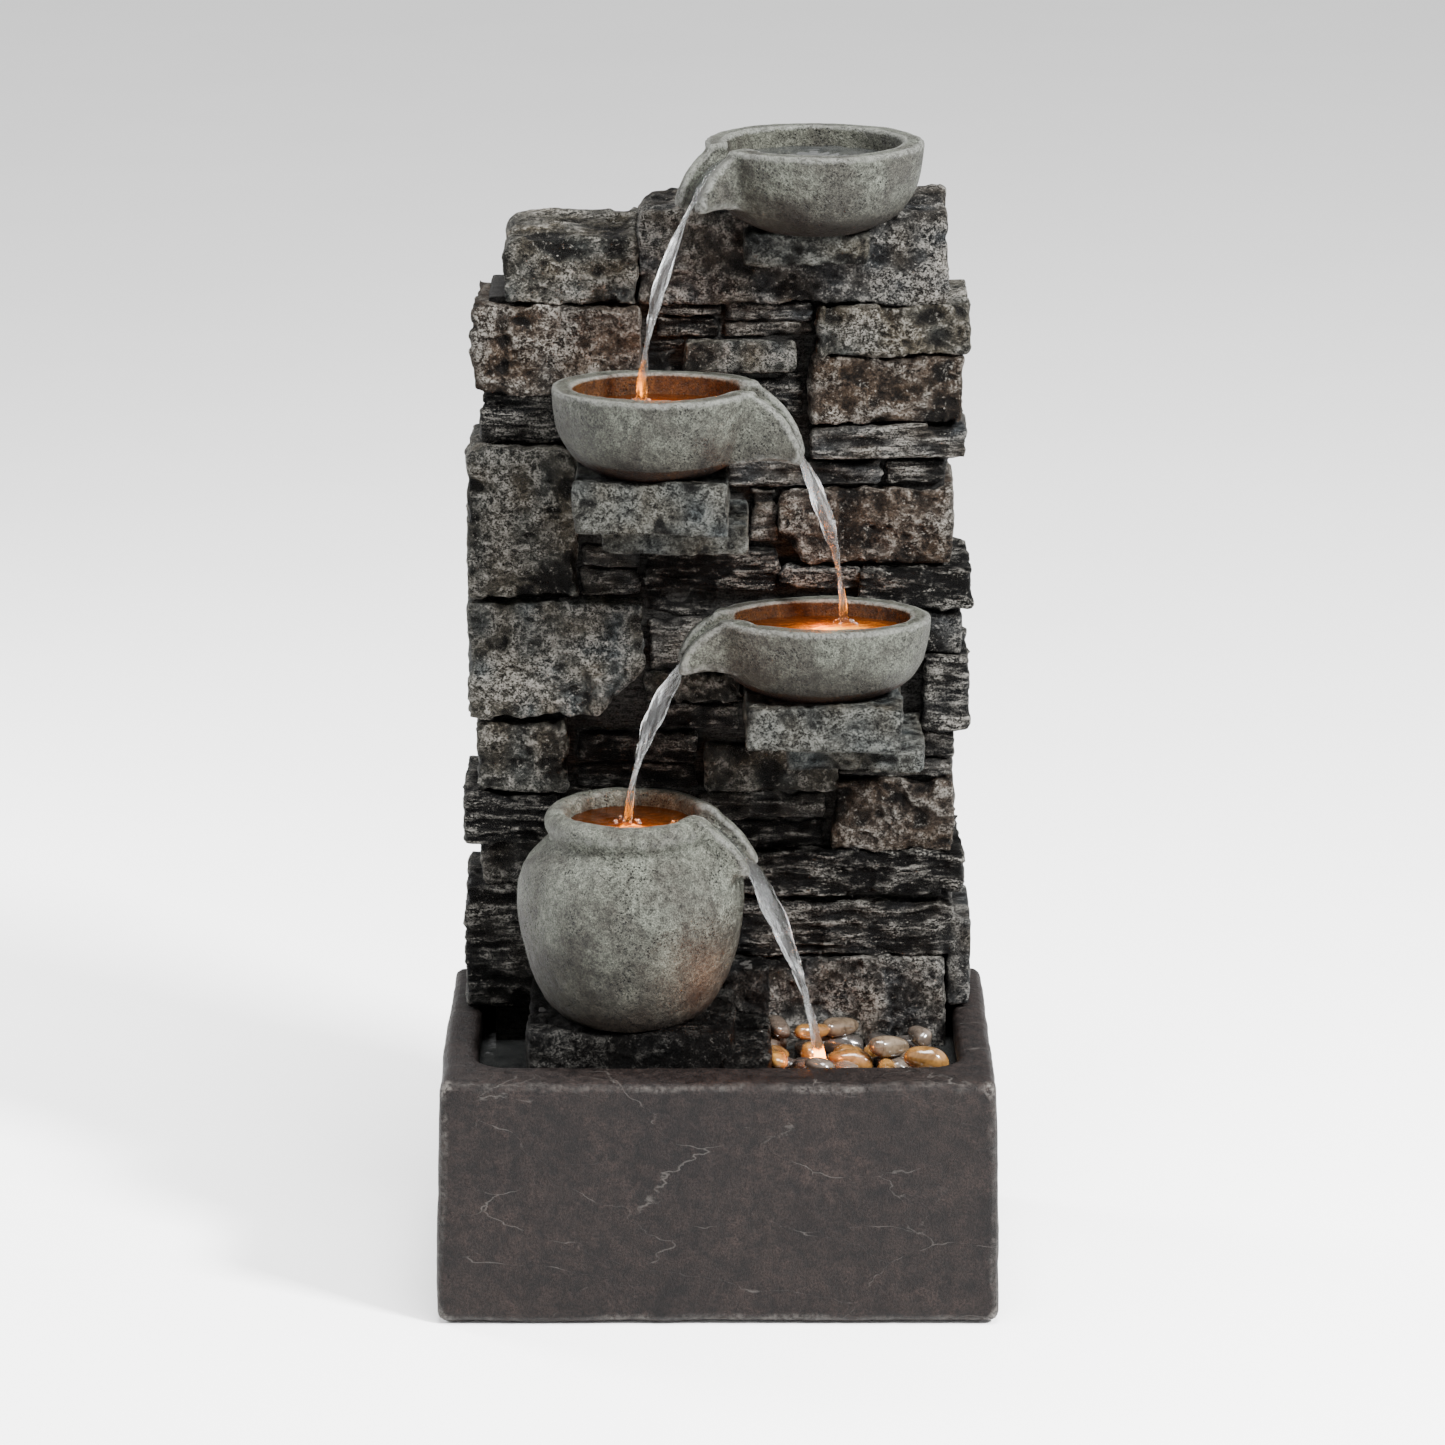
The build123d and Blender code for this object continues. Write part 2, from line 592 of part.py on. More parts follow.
def pump_lead():
    end = junction_points()["pump"]
    x0 = PUMP_X0
    up = [(end[0] + 6, PUMP_Y + 6, 100), (end[0], end[1], 200)]
    points = [(x0, PUMP_Y, 44), (x0 - 34, PUMP_Y, 44), *up, end]
    return swept(tube_path(points, [12, 24, 30]), LEAD_RADIUS)


def trunk_lead():
    end = junction_points()["trunk"]
    points = [end, (end[0], end[1], 262), (GLAND_X, 84, GLAND_Z), (GLAND_X, PLATE_Y - 1.5, GLAND_Z)]
    return swept(tube_path(points, [16, 12]), LEAD_RADIUS)


GLAND_BODY = 6.5


def cable_gland():
    """Rubber gland in the rear plate: the trunk lead ends in it, and the supply cord plugs in from behind."""
    body = rod_y(GLAND_X, GLAND_Z, PLATE_Y - 8, CORE_BACK, GLAND_BODY)
    inner = rod_y(GLAND_X, GLAND_Z, PLATE_Y - 8, PLATE_Y, 9.0)
    flange = rod_y(GLAND_X, GLAND_Z, CORE_BACK, BACK_Y, 9.0)
    gland = body + inner + flange
    gland -= rod_y(GLAND_X, GLAND_Z, BACK_Y - GLAND_DEPTH, BACK_Y + 1, GLAND_BORE)
    return gland - rod_y(GLAND_X, GLAND_Z, PLATE_Y - 9, PLATE_Y - 1.5, LEAD_RADIUS)


GLAND_DEPTH = 12.0

# --- pump ---
PUMP_X0, VOLUTE_X0, VOLUTE_X1 = 14.0, 56.0, 80.0
PUMP_AXIS_Z = 46.0
PUMP_HALF = 21.0
CUP_TOP = PUMP_AXIS_Z - PUMP_HALF


def pump_motor():
    body = span(PUMP_X0, VOLUTE_X0, PUMP_Y - PUMP_HALF, PUMP_Y + PUMP_HALF, CUP_TOP, PUMP_AXIS_Z + PUMP_HALF)
    body = fillet(body.edges().filter_by(Axis.X), 5)
    body -= rod_x(PUMP_Y, PUMP_AXIS_Z, PUMP_X0 + 12, VOLUTE_X0 + 1, 10)
    return body - rod_x(PUMP_Y, PUMP_AXIS_Z, PUMP_X0 + 6, PUMP_X0 + 13, 1.5 + TOUCH)


def pump_volute():
    front, back = PUMP_Y - PUMP_HALF, PUMP_Y + PUMP_HALF
    body = span(VOLUTE_X0, VOLUTE_X1, front, back, CUP_TOP, PUMP_AXIS_Z + PUMP_HALF)
    body = fillet(body.edges().filter_by(Axis.X), 5)
    body -= rod_x(PUMP_Y, PUMP_AXIS_Z, VOLUTE_X0 - 1, VOLUTE_X1 - 6, 16)
    body -= rod_x(PUMP_Y, PUMP_AXIS_Z, VOLUTE_X1 - 7, VOLUTE_X1 + 1, 8)
    body += span(VOLUTE_X1 - 6, VOLUTE_X1, PUMP_Y - 9, PUMP_Y + 9, PUMP_AXIS_Z - 2.5, PUMP_AXIS_Z + 2.5)
    body -= rod_x(PUMP_Y, PUMP_AXIS_Z, VOLUTE_X1 - 7, VOLUTE_X1 - 2, 1.5 + TOUCH)
    top = PUMP_AXIS_Z + PUMP_HALF
    body += rod(RISER_X, PUMP_Y, top - 4, top + 16, RISER_INNER - TOUCH)
    return body - rod(RISER_X, PUMP_Y, PUMP_AXIS_Z + 14, top + 17, 3.8)


def pump_shaft():
    return rod_x(PUMP_Y, PUMP_AXIS_Z, PUMP_X0 + 7, VOLUTE_X1 - 3, 1.5)


def pump_impeller():
    """Magnet rotor with a six-bladed wheel, turning on the ceramic shaft."""
    wheel = rod_x(PUMP_Y, PUMP_AXIS_Z, PUMP_X0 + 14, VOLUTE_X0 + 1, 9)
    wheel += rod_x(PUMP_Y, PUMP_AXIS_Z, VOLUTE_X0 + 1, VOLUTE_X0 + 4, 13)
    for turn in range(6):
        blade = span(VOLUTE_X0 + 3, VOLUTE_X0 + 12, -0.8, 0.8, 3, 13)
        wheel += Pos(0, PUMP_Y, PUMP_AXIS_Z) * Rot(60 * turn, 0, 0) * blade
    wheel += rod_x(PUMP_Y, PUMP_AXIS_Z, VOLUTE_X0 + 3, VOLUTE_X0 + 12, 4)
    return wheel - rod_x(PUMP_Y, PUMP_AXIS_Z, PUMP_X0, VOLUTE_X1, 1.5 + TOUCH)


STRAINER_X0 = VOLUTE_X1 + 0.2
STRAINER_X1 = STRAINER_X0 + 16.0


def pump_strainer():
    """Slotted intake cover that pulls off the pump for cleaning."""
    z0, z1 = CUP_TOP, PUMP_AXIS_Z + PUMP_HALF
    cover = span(STRAINER_X0, STRAINER_X1, PUMP_Y - PUMP_HALF, PUMP_Y + PUMP_HALF, z0, z1)
    cover = fillet(cover.edges().filter_by(Axis.X), 5)
    cover -= span(STRAINER_X0 - 1, STRAINER_X1 - 2.5, PUMP_Y - 18, PUMP_Y + 18, z0 + 3, z1 - 3)
    for row in range(-2, 3):
        z = PUMP_AXIS_Z + 7 * row
        cover -= span(STRAINER_X0 + 3, STRAINER_X1 - 4, PUMP_Y - 22, PUMP_Y + 22, z - 1.5, z + 1.5)
    cover -= rod_x(PUMP_Y, PUMP_AXIS_Z, STRAINER_X1 - 4, STRAINER_X1 + 1, 3 + TOUCH)
    for side in (-1, 1):
        y = PUMP_Y + 12 * side
        cover -= span(STRAINER_X1 - 4, STRAINER_X1 + 1, y - 1.5, y + 1.5, z0 + 8, z1 - 8)
    return cover


def pump_flow_dial():
    """Dial on the strainer that opens and closes the intake."""
    dial = rod_x(PUMP_Y, PUMP_AXIS_Z, STRAINER_X1 + 0.1, STRAINER_X1 + 3.6, 9)
    dial += rod_x(PUMP_Y, PUMP_AXIS_Z, STRAINER_X1 - 6, STRAINER_X1 + 0.2, 3)
    bottom, top = PUMP_AXIS_Z - 8, PUMP_AXIS_Z + 8
    grip = span(STRAINER_X1 + 3.5, STRAINER_X1 + 6.5, PUMP_Y - 1.5, PUMP_Y + 1.5, bottom, top)
    return dial + grip


def pump_suction_cups():
    cups = []
    for x in (PUMP_X0 + 9, VOLUTE_X1 - 9):
        for y in (PUMP_Y - 13, PUMP_Y + 13):
            base = Pos(x, y, FLOOR_TOP + 3) * Cone(8, 3, 6)
            cups.append(base + rod(x, y, FLOOR_TOP + 5.9, CUP_TOP, 3))
    return Compound(children=cups)


# --- plumbing ---
def riser_points():
    start = PUMP_AXIS_Z + PUMP_HALF + 1
    return [
        (RISER_X, PUMP_Y, start),
        (RISER_X, PUMP_Y, 540),
        (RISER_X, RISER_TOP_Y, 640),
        (RISER_X, RISER_TOP_Y, 786),
    ]


def riser_tube():
    path = tube_path(riser_points(), [60, 60])
    return swept(path, RISER_OUTER) - swept(path, RISER_INNER)


def riser_grommet():
    """Rubber ring that seals the riser in the top bowl."""
    ring = rod(RISER_X, RISER_TOP_Y, 762, 782, GROMMET_RADIUS)
    return ring - rod(RISER_X, RISER_TOP_Y, 760, 784, RISER_OUTER)


def riser_clips():
    """C-shaped clips that hold the riser to the inside of the wall."""
    clips = []
    for z in (200, 360, 500):
        body = span(RISER_X - 11, RISER_X + 11, CAVITY_FRONT, PUMP_Y + 2, z - 6, z + 6)
        body -= rod(RISER_X, PUMP_Y, z - 7, z + 7, RISER_OUTER + TOUCH)
        clips.append(body - span(RISER_X - 5, RISER_X + 5, CAVITY_FRONT + 4, PUMP_Y - 12, z - 7, z + 7))
    return Compound(children=clips)


# --- pool ---
def pebble_grate():
    grate = span(25.5, 171, POOL_FRONT + 1, 28, GRATE_Z + TOUCH, GRATE_Z + GRATE_THICK)
    grate = fillet(grate.edges().filter_by(Axis.Z).group_by(Axis.Y)[0], MOUTH_CORNER - 1)
    for column in range(9):
        for row in range(7):
            grate -= rod(42 + 14.5 * column, -78 + 15 * row, GRATE_Z - 1, GRATE_Z + 6, 3.5)
    return grate


PEBBLE_ROWS = [
    (-82, [13, 16, 12, 14, 11]),
    (-62, [14, 12, 15, 11, 15]),
    (-42, [12, 15, 11, 16, 12]),
    (-22, [15, 12, 14, 13, 12]),
    (-2, [12, 14, 13, 12, 15]),
    (17, [13, 11, 14, 12, 13]),
]
PEBBLE_START = 28.0
PEBBLE_HALF_DEPTH = 9.3
PEBBLE_HALF_HEIGHTS = (7.0, 8.0, 6.5, 7.5)
PEBBLES_ON_TOP = ((0, 1), (1, 4), (2, 0), (3, 3), (4, 1), (4, 4), (5, 2), (5, 0))


def pebble(x, y, z, a, c):
    return Pos(x, y, z) * scale(Sphere(1), by=(a, PEBBLE_HALF_DEPTH, c))


def pebbles():
    """A bed of river pebbles on the grate, with a few more lying on it."""
    top, stones, bed = GRATE_Z + GRATE_THICK, [], {}
    for row, (y, halves) in enumerate(PEBBLE_ROWS):
        x = PEBBLE_START
        for column, a in enumerate(halves):
            c = PEBBLE_HALF_HEIGHTS[(row + column) % len(PEBBLE_HALF_HEIGHTS)]
            x += a
            bed[row, column] = (x, y, c)
            stones.append(pebble(x, y, top + c + TOUCH, a, c))
            x += a + 0.3
    for order, place in enumerate(PEBBLES_ON_TOP):
        x, y, below = bed[place]
        c = PEBBLE_HALF_HEIGHTS[order % len(PEBBLE_HALF_HEIGHTS)]
        stones.append(pebble(x, y, top + 2 * below + c + 0.1, 13, c))
    return Compound(children=stones)


def all_parts():
    parts = {
        "basin_shell": basin_shell(),
        "rubber_feet": rubber_feet(),
        "pot_plinth": pot_plinth(),
        "pool_divider": pool_divider(),
        "wall_core": wall_core(),
        "rear_plate": rear_plate(),
        "rear_plate_screws": rear_plate_screws(),
        "service_hatch": service_hatch(),
        "hatch_gasket": hatch_gasket(),
        "hatch_screws": hatch_screws(),
        "pot": pot_casting(),
        "led_bracket": led_bracket(),
        "junction_box": junction_box(),
        "junction_lid": junction_lid(),
        "lead_pump": pump_lead(),
        "lead_trunk": trunk_lead(),
        "cable_gland": cable_gland(),
        "pump_motor": pump_motor(),
        "pump_volute": pump_volute(),
        "pump_shaft": pump_shaft(),
        "pump_impeller": pump_impeller(),
        "pump_strainer": pump_strainer(),
        "pump_flow_dial": pump_flow_dial(),
        "pump_suction_cups": pump_suction_cups(),
        "riser_tube": riser_tube(),
        "riser_grommet": riser_grommet(),
        "riser_clips": riser_clips(),
        "pebble_grate": pebble_grate(),
        "pebbles": pebbles(),
    }
    parts.update({name: stone_group(name) for name in STONES})
    parts.update({name: slab_group(name) for name in SLABS})
    parts.update({name: bowl_casting(name) for name in BOWLS})
    parts.update(lights())
    parts.update(bowl_leads())
    parts.update(low_leads())
    return parts


def main():
    os.makedirs("parts", exist_ok=True)
    for name, shape in all_parts().items():
        export_step(shape, f"parts/{name}.step")


main()
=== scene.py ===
"""Looks of the cascading fountain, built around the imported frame.

Sizes are in millimetres unless a name says otherwise.
"""

import json
import math

import bpy
import numpy as np
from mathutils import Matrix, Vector


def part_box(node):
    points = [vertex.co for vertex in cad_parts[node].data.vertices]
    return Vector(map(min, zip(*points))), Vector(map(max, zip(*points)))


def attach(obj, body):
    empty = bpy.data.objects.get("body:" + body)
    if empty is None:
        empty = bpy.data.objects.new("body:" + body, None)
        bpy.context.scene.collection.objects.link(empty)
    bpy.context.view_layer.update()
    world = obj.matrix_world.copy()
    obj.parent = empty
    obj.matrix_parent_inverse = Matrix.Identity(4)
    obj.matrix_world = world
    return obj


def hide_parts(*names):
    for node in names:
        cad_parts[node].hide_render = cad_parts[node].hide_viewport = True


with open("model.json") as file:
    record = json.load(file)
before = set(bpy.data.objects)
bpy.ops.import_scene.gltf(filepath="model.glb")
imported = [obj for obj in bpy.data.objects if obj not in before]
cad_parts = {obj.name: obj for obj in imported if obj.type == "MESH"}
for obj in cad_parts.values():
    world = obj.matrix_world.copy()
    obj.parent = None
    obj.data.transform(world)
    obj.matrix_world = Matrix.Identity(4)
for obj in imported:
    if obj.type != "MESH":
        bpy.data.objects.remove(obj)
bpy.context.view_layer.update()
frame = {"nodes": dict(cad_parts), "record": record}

MM = 0.001
ROOT = "fountain"


# --- noise ---
LATTICE_SIDE = 64
LATTICE = np.random.RandomState(11).rand(LATTICE_SIDE, LATTICE_SIDE, LATTICE_SIDE).astype(np.float32) * 2 - 1


def noise(points, scale, seed=0):
    """Smooth noise from -1 to 1 at points (N, 3), with features scale across (one number, or three)."""
    q = points / np.asarray(scale, float) + seed * 7.31
    cell = np.floor(q).astype(np.int64)
    f = q - cell
    f = f * f * (3 - 2 * f)
    i0 = cell & (LATTICE_SIDE - 1)
    i1 = (i0 + 1) & (LATTICE_SIDE - 1)
    total = 0
    for cx, ix in ((1 - f[:, 0], i0[:, 0]), (f[:, 0], i1[:, 0])):
        for cy, iy in ((1 - f[:, 1], i0[:, 1]), (f[:, 1], i1[:, 1])):
            line = LATTICE[ix, iy, i0[:, 2]] * (1 - f[:, 2]) + LATTICE[ix, iy, i1[:, 2]] * f[:, 2]
            total = total + line * cx * cy
    return total


def ridges(points, scale, seed):
    """Noise folded into sharp ridges, from 0 in the dips to 1 on the crests."""
    return 1 - np.abs(noise(points, scale, seed)) * 2


def fractal(points, scale, octaves, seed):
    """Noise from -1 to 1 with ever finer noise over it."""
    total, weight, size = 0, 0, np.asarray(scale, float)
    for octave in range(octaves):
        total = total + noise(points, size / 2**octave, seed + octave) / 2**octave
        weight += 1 / 2**octave
    return total / weight


# --- shapes as signed distances, negative inside ---
def box_distance(p, low, high, radius=0.0):
    centre, half = (np.add(low, high)) / 2, (np.subtract(high, low)) / 2 - radius
    q = np.abs(p - centre) - half
    outside = np.sqrt((np.maximum(q, 0) ** 2).sum(1))
    return outside + np.minimum(q.max(1), 0) - radius


def smooth_min(a, b, width):
    h = np.clip(0.5 + 0.5 * (b - a) / width, 0, 1)
    return b + (a - b) * h - width * h * (1 - h)


def smooth_max(a, b, width):
    return -smooth_min(-a, -b, width)


def smooth_curve(t, knots, values):
    """A curve through (knots, values) with no corners."""
    slopes = np.gradient(values, knots)
    i = np.clip(np.searchsorted(knots, t) - 1, 0, len(knots) - 2)
    k, v, m = np.asarray(knots), np.asarray(values), slopes
    step = k[i + 1] - k[i]
    u = np.clip((t - k[i]) / step, 0, 1)
    rise = v[i] * (1 + 2 * u) * (1 - u) ** 2 + v[i + 1] * u * u * (3 - 2 * u)
    return rise + step * (m[i] * u * (1 - u) ** 2 - m[i + 1] * u * u * (1 - u))


# --- meshes from distances ---
def surface_net(field, low, step):
    """Vertices and quads of the surface where field is zero. field holds samples, step apart, from low."""
    cells = np.array(field.shape) - 1
    count = np.zeros(cells.prod(), np.int32)
    place = np.zeros((cells.prod(), 3))
    inside = field < 0
    quads = []
    for axis in range(3):
        u, v = (axis + 1) % 3, (axis + 2) % 3
        here, there = [slice(None)] * 3, [slice(None)] * 3
        here[axis], there[axis] = slice(0, -1), slice(1, None)
        here, there = tuple(here), tuple(there)
        edges = np.argwhere(inside[here] != inside[there])
        a, b = field[here][tuple(edges.T)], field[there][tuple(edges.T)]
        points = edges.astype(float)
        points[:, axis] += a / (a - b)
        ring = []
        for du, dv in ((0, 0), (-1, 0), (-1, -1), (0, -1)):
            cell = edges.copy()
            cell[:, u] += du
            cell[:, v] += dv
            flat = (cell[:, 0] * cells[1] + cell[:, 1]) * cells[2] + cell[:, 2]
            ring.append(flat)
            count += np.bincount(flat, minlength=count.size).astype(np.int32)
            for k in range(3):
                place[:, k] += np.bincount(flat, weights=points[:, k], minlength=count.size)
        ring = np.stack(ring, 1)
        outward = a < 0
        quads.append(np.where(outward[:, None], ring, ring[:, ::-1]))
    used = np.nonzero(count)[0]
    order = np.full(count.size, -1)
    order[used] = np.arange(used.size)
    vertices = place[used] / count[used, None] * step + low
    return vertices, order[np.concatenate(quads)]


def solid_net(shape, detail, low, high, step, band=9.0):
    """Mesh of the solid where shape + detail is negative. Only points near the surface get the detail."""
    low = np.asarray(low, float) - 3 * step
    sides = [np.arange(low[k], high[k] + 3 * step, step) for k in range(3)]
    grid = np.stack(np.meshgrid(*sides, indexing="ij"), -1).reshape(-1, 3)
    field = shape(grid)
    near = np.abs(field) < band
    field[near] += detail(grid[near])
    field = field.reshape([len(s) for s in sides])
    closed = np.full_like(field, step)
    closed[1:-1, 1:-1, 1:-1] = field[1:-1, 1:-1, 1:-1]
    return surface_net(closed, low, step)


def mesh_object(name, vertices, faces, tint=None, relief=None):
    """A Blender mesh from points in millimetres, with a colour and a relief for its material."""
    mesh = bpy.data.meshes.new(name)
    faces = np.asarray(faces)
    side = faces.shape[1]
    mesh.vertices.add(len(vertices))
    mesh.vertices.foreach_set("co", (np.asarray(vertices) * MM).astype(np.float32).ravel())
    mesh.loops.add(faces.size)
    mesh.loops.foreach_set("vertex_index", faces.astype(np.int32).ravel())
    mesh.polygons.add(len(faces))
    mesh.polygons.foreach_set("loop_start", np.arange(0, faces.size, side, dtype=np.int32))
    mesh.polygons.foreach_set("use_smooth", np.ones(len(faces), bool))
    if tint is not None:
        colours = np.ones((len(vertices), 4), np.float32)
        tint = np.asarray(tint)
        colours[:, : tint.shape[-1]] = tint
        mesh.attributes.new("tint", "FLOAT_COLOR", "POINT").data.foreach_set("color", colours.ravel())
    if relief is not None:
        values = np.broadcast_to(relief, len(vertices)).astype(np.float32)
        mesh.attributes.new("relief", "FLOAT", "POINT").data.foreach_set("value", values)
    mesh.update(calc_edges=True)
    mesh.validate()
    piece = bpy.data.objects.new(name, mesh)
    bpy.context.scene.collection.objects.link(piece)
    return piece


def join(parts):
    """One mesh from several (vertices, faces, tint, relief)."""
    offset, vertices, faces, tints, reliefs = 0, [], [], [], []
    for v, f, tint, relief in parts:
        vertices.append(v)
        faces.append(f + offset)
        tints.append(np.broadcast_to(tint, (len(v), np.shape(tint)[-1])))
        reliefs.append(np.broadcast_to(relief, len(v)))
        offset += len(v)
    return tuple(np.concatenate(x) for x in (vertices, faces, tints, reliefs))


def place(piece, material, slot, *nodes, body=ROOT):
    piece.data.materials.clear()
    piece.data.materials.append(material)
    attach(piece, body)
    if nodes:
        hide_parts(*nodes)
    return piece


# --- materials ---
class Nodes:
    """A material's node tree, written from left to right."""

    def __init__(self, name):
        self.material = bpy.data.materials.new(name)
        self.material.use_nodes = True
        self.tree = self.material.node_tree
        self.shader = self.tree.nodes["Principled BSDF"]
        self.coordinates = self.tree.nodes.new("ShaderNodeTexCoord").outputs["Object"]

    def link(self, value, socket):
        if isinstance(value, bpy.types.NodeSocket):
            self.tree.links.new(value, socket)
        else:
            socket.default_value = value

    def stretch(self, x, y, z):
        node = self.tree.nodes.new("ShaderNodeMapping")
        node.inputs["Scale"].default_value = (x, y, z)
        self.link(self.coordinates, node.inputs["Vector"])
        return node.outputs["Vector"]

    def noise(self, size, detail, roughness, vector=None, distortion=0.0):
        """Noise with features about size (mm) across."""
        node = self.tree.nodes.new("ShaderNodeTexNoise")
        node.inputs["Scale"].default_value = 1 / (size * MM)
        node.inputs["Detail"].default_value = detail
        node.inputs["Roughness"].default_value = roughness
        node.inputs["Distortion"].default_value = distortion
        self.link(vector or self.coordinates, node.inputs["Vector"])
        return node.outputs["Fac"]

    def warp(self, vector, size, amount):
        """vector pushed about by noise, for lines that wander."""
        node = self.tree.nodes.new("ShaderNodeTexNoise")
        node.inputs["Scale"].default_value = 1 / (size * MM)
        node.inputs["Detail"].default_value = 4
        self.link(vector, node.inputs["Vector"])
        push = self.tree.nodes.new("ShaderNodeVectorMath")
        push.operation = "MULTIPLY_ADD"
        self.link(node.outputs["Color"], push.inputs[0])
        push.inputs[1].default_value = (amount, amount, amount)
        self.link(vector, push.inputs[2])
        return push.outputs["Vector"]

    def cells(self, size, feature="F1", vector=None):
        """Distance to cell middles or edges, the cells about size (mm) across."""
        node = self.tree.nodes.new("ShaderNodeTexVoronoi")
        node.feature = feature
        node.inputs["Scale"].default_value = 1 / (size * MM)
        self.link(vector or self.coordinates, node.inputs["Vector"])
        return node.outputs["Distance"]

    def attribute(self, name, output="Fac"):
        node = self.tree.nodes.new("ShaderNodeAttribute")
        node.attribute_name = name
        return node.outputs[output]

    def ramp(self, value, low, high, start=0.0, end=1.0):
        """value taken from low..high to start..end, held at the ends."""
        node = self.tree.nodes.new("ShaderNodeMapRange")
        for socket, number in zip(("From Min", "From Max", "To Min", "To Max"), (low, high, start, end)):
            node.inputs[socket].default_value = number
        self.link(value, node.inputs["Value"])
        return node.outputs["Result"]

    def math(self, operation, a, b):
        node = self.tree.nodes.new("ShaderNodeMath")
        node.operation = operation
        self.link(a, node.inputs[0])
        self.link(b, node.inputs[1])
        return node.outputs[0]

    def mix(self, factor, a, b, blend="MIX"):
        node = self.tree.nodes.new("ShaderNodeMix")
        node.data_type = "RGBA"
        node.blend_type = blend
        # The mix node also has number and vector sockets; 0, 6, 7 and 2 are the factor and the colour ones.
        self.link(factor, node.inputs[0])
        self.link(colour(a), node.inputs[6])
        self.link(colour(b), node.inputs[7])
        return node.outputs[2]

    def blend(self, factor, a, b):
        """A number between a and b."""
        kept = self.math("MULTIPLY", a, self.math("SUBTRACT", 1.0, factor))
        return self.math("ADD", kept, self.math("MULTIPLY", b, factor))

    def palette(self, value, *stops):
        """Colours at places 0..1 along value: (place, (r, g, b)) in rising order."""
        node = self.tree.nodes.new("ShaderNodeValToRGB")
        elements = node.color_ramp.elements
        while len(elements) < len(stops):
            elements.new(1.0)
        for element, (at, rgb) in zip(elements, stops):
            element.position = at
            element.color = (*rgb, 1)
        self.link(value, node.inputs["Fac"])
        return node.outputs["Color"]

    def shade(self, base, value, low, high, dark, light):
        """base times a tone that goes from dark to light as value goes from low to high."""
        tone = self.palette(self.ramp(value, low, high), (0.0, dark), (1.0, light))
        return self.mix(1.0, base, tone, "MULTIPLY")

    def bump(self, height, strength, distance, below=None):
        """A normal that follows height, over the bump below it."""
        node = self.tree.nodes.new("ShaderNodeBump")
        node.inputs["Strength"].default_value = strength
        node.inputs["Distance"].default_value = distance * MM
        self.link(height, node.inputs["Height"])
        if below is not None:
            self.link(below, node.inputs["Normal"])
        return node.outputs["Normal"]

    def finish(self, base, roughness, normal=None, **sockets):
        self.link(colour(base), self.shader.inputs["Base Color"])
        self.link(roughness, self.shader.inputs["Roughness"])
        if normal is not None:
            self.link(normal, self.shader.inputs["Normal"])
        for name, value in sockets.items():
            self.link(value, self.shader.inputs[name.replace("_", " ")])
        return self.material


def colour(value):
    return (*value, 1.0) if isinstance(value, tuple) and len(value) == 3 else value


def rock_material(name, dust=(0.26, 0.249, 0.224), dust_amount=0.76, depth=1.0):
    """Stone-look casting: black in the crevices, tinted on its faces, dry-brushed pale on the crests.

    The tint's fourth value is 1 on layered stones and 0 on split ones.
    """
    n = Nodes(name)
    tint = n.attribute("tint", "Color")
    layered = n.attribute("tint", "Alpha")
    relief = n.attribute("relief")
    chips = n.cells(7.5, "F1", n.warp(n.coordinates, 6, 0.005))
    chips = n.math("MULTIPLY", n.math("SUBTRACT", chips, 0.45), 0.14)
    split = n.math("ADD", n.noise(3.8, 10, 0.74, distortion=0.7), chips)
    slate = n.noise(4.2, 9, 0.74, n.warp(n.stretch(0.30, 0.40, 1.8), 22, 0.006), distortion=0.3)
    height = n.blend(layered, split, slate)
    speck = n.noise(1.5, 4, 0.75, n.warp(n.stretch(1.0, 1.0, 1.3), 8, 0.002))
    both = n.math("ADD", n.math("MULTIPLY", height, 0.5), n.math("MULTIPLY", speck, 0.5))
    shade = n.ramp(both, 0.44, 0.58, 0.10, 2.1)
    body = n.mix(1.0, tint, shade, "MULTIPLY")
    body = n.mix(n.ramp(relief, 0.05, 0.42, 0.92, 0.0), body, (0.0018, 0.0017, 0.0016))
    crest = n.math("MULTIPLY", n.ramp(relief, 0.42, 0.88), n.ramp(both, 0.49, 0.565))
    flecks = n.math("MULTIPLY", n.ramp(both, 0.565, 0.61), 0.85)
    body = n.mix(n.math("MULTIPLY", n.math("MAXIMUM", crest, flecks), dust_amount), body, dust)
    normal = n.bump(height, 1.0, 11.0 * depth)
    normal = n.bump(speck, 1.0, 3.0 * depth, normal)
    return n.finish(body, n.ramp(both, 0.42, 0.60, 0.42, 0.75), normal, Specular_IOR_Level=0.05)


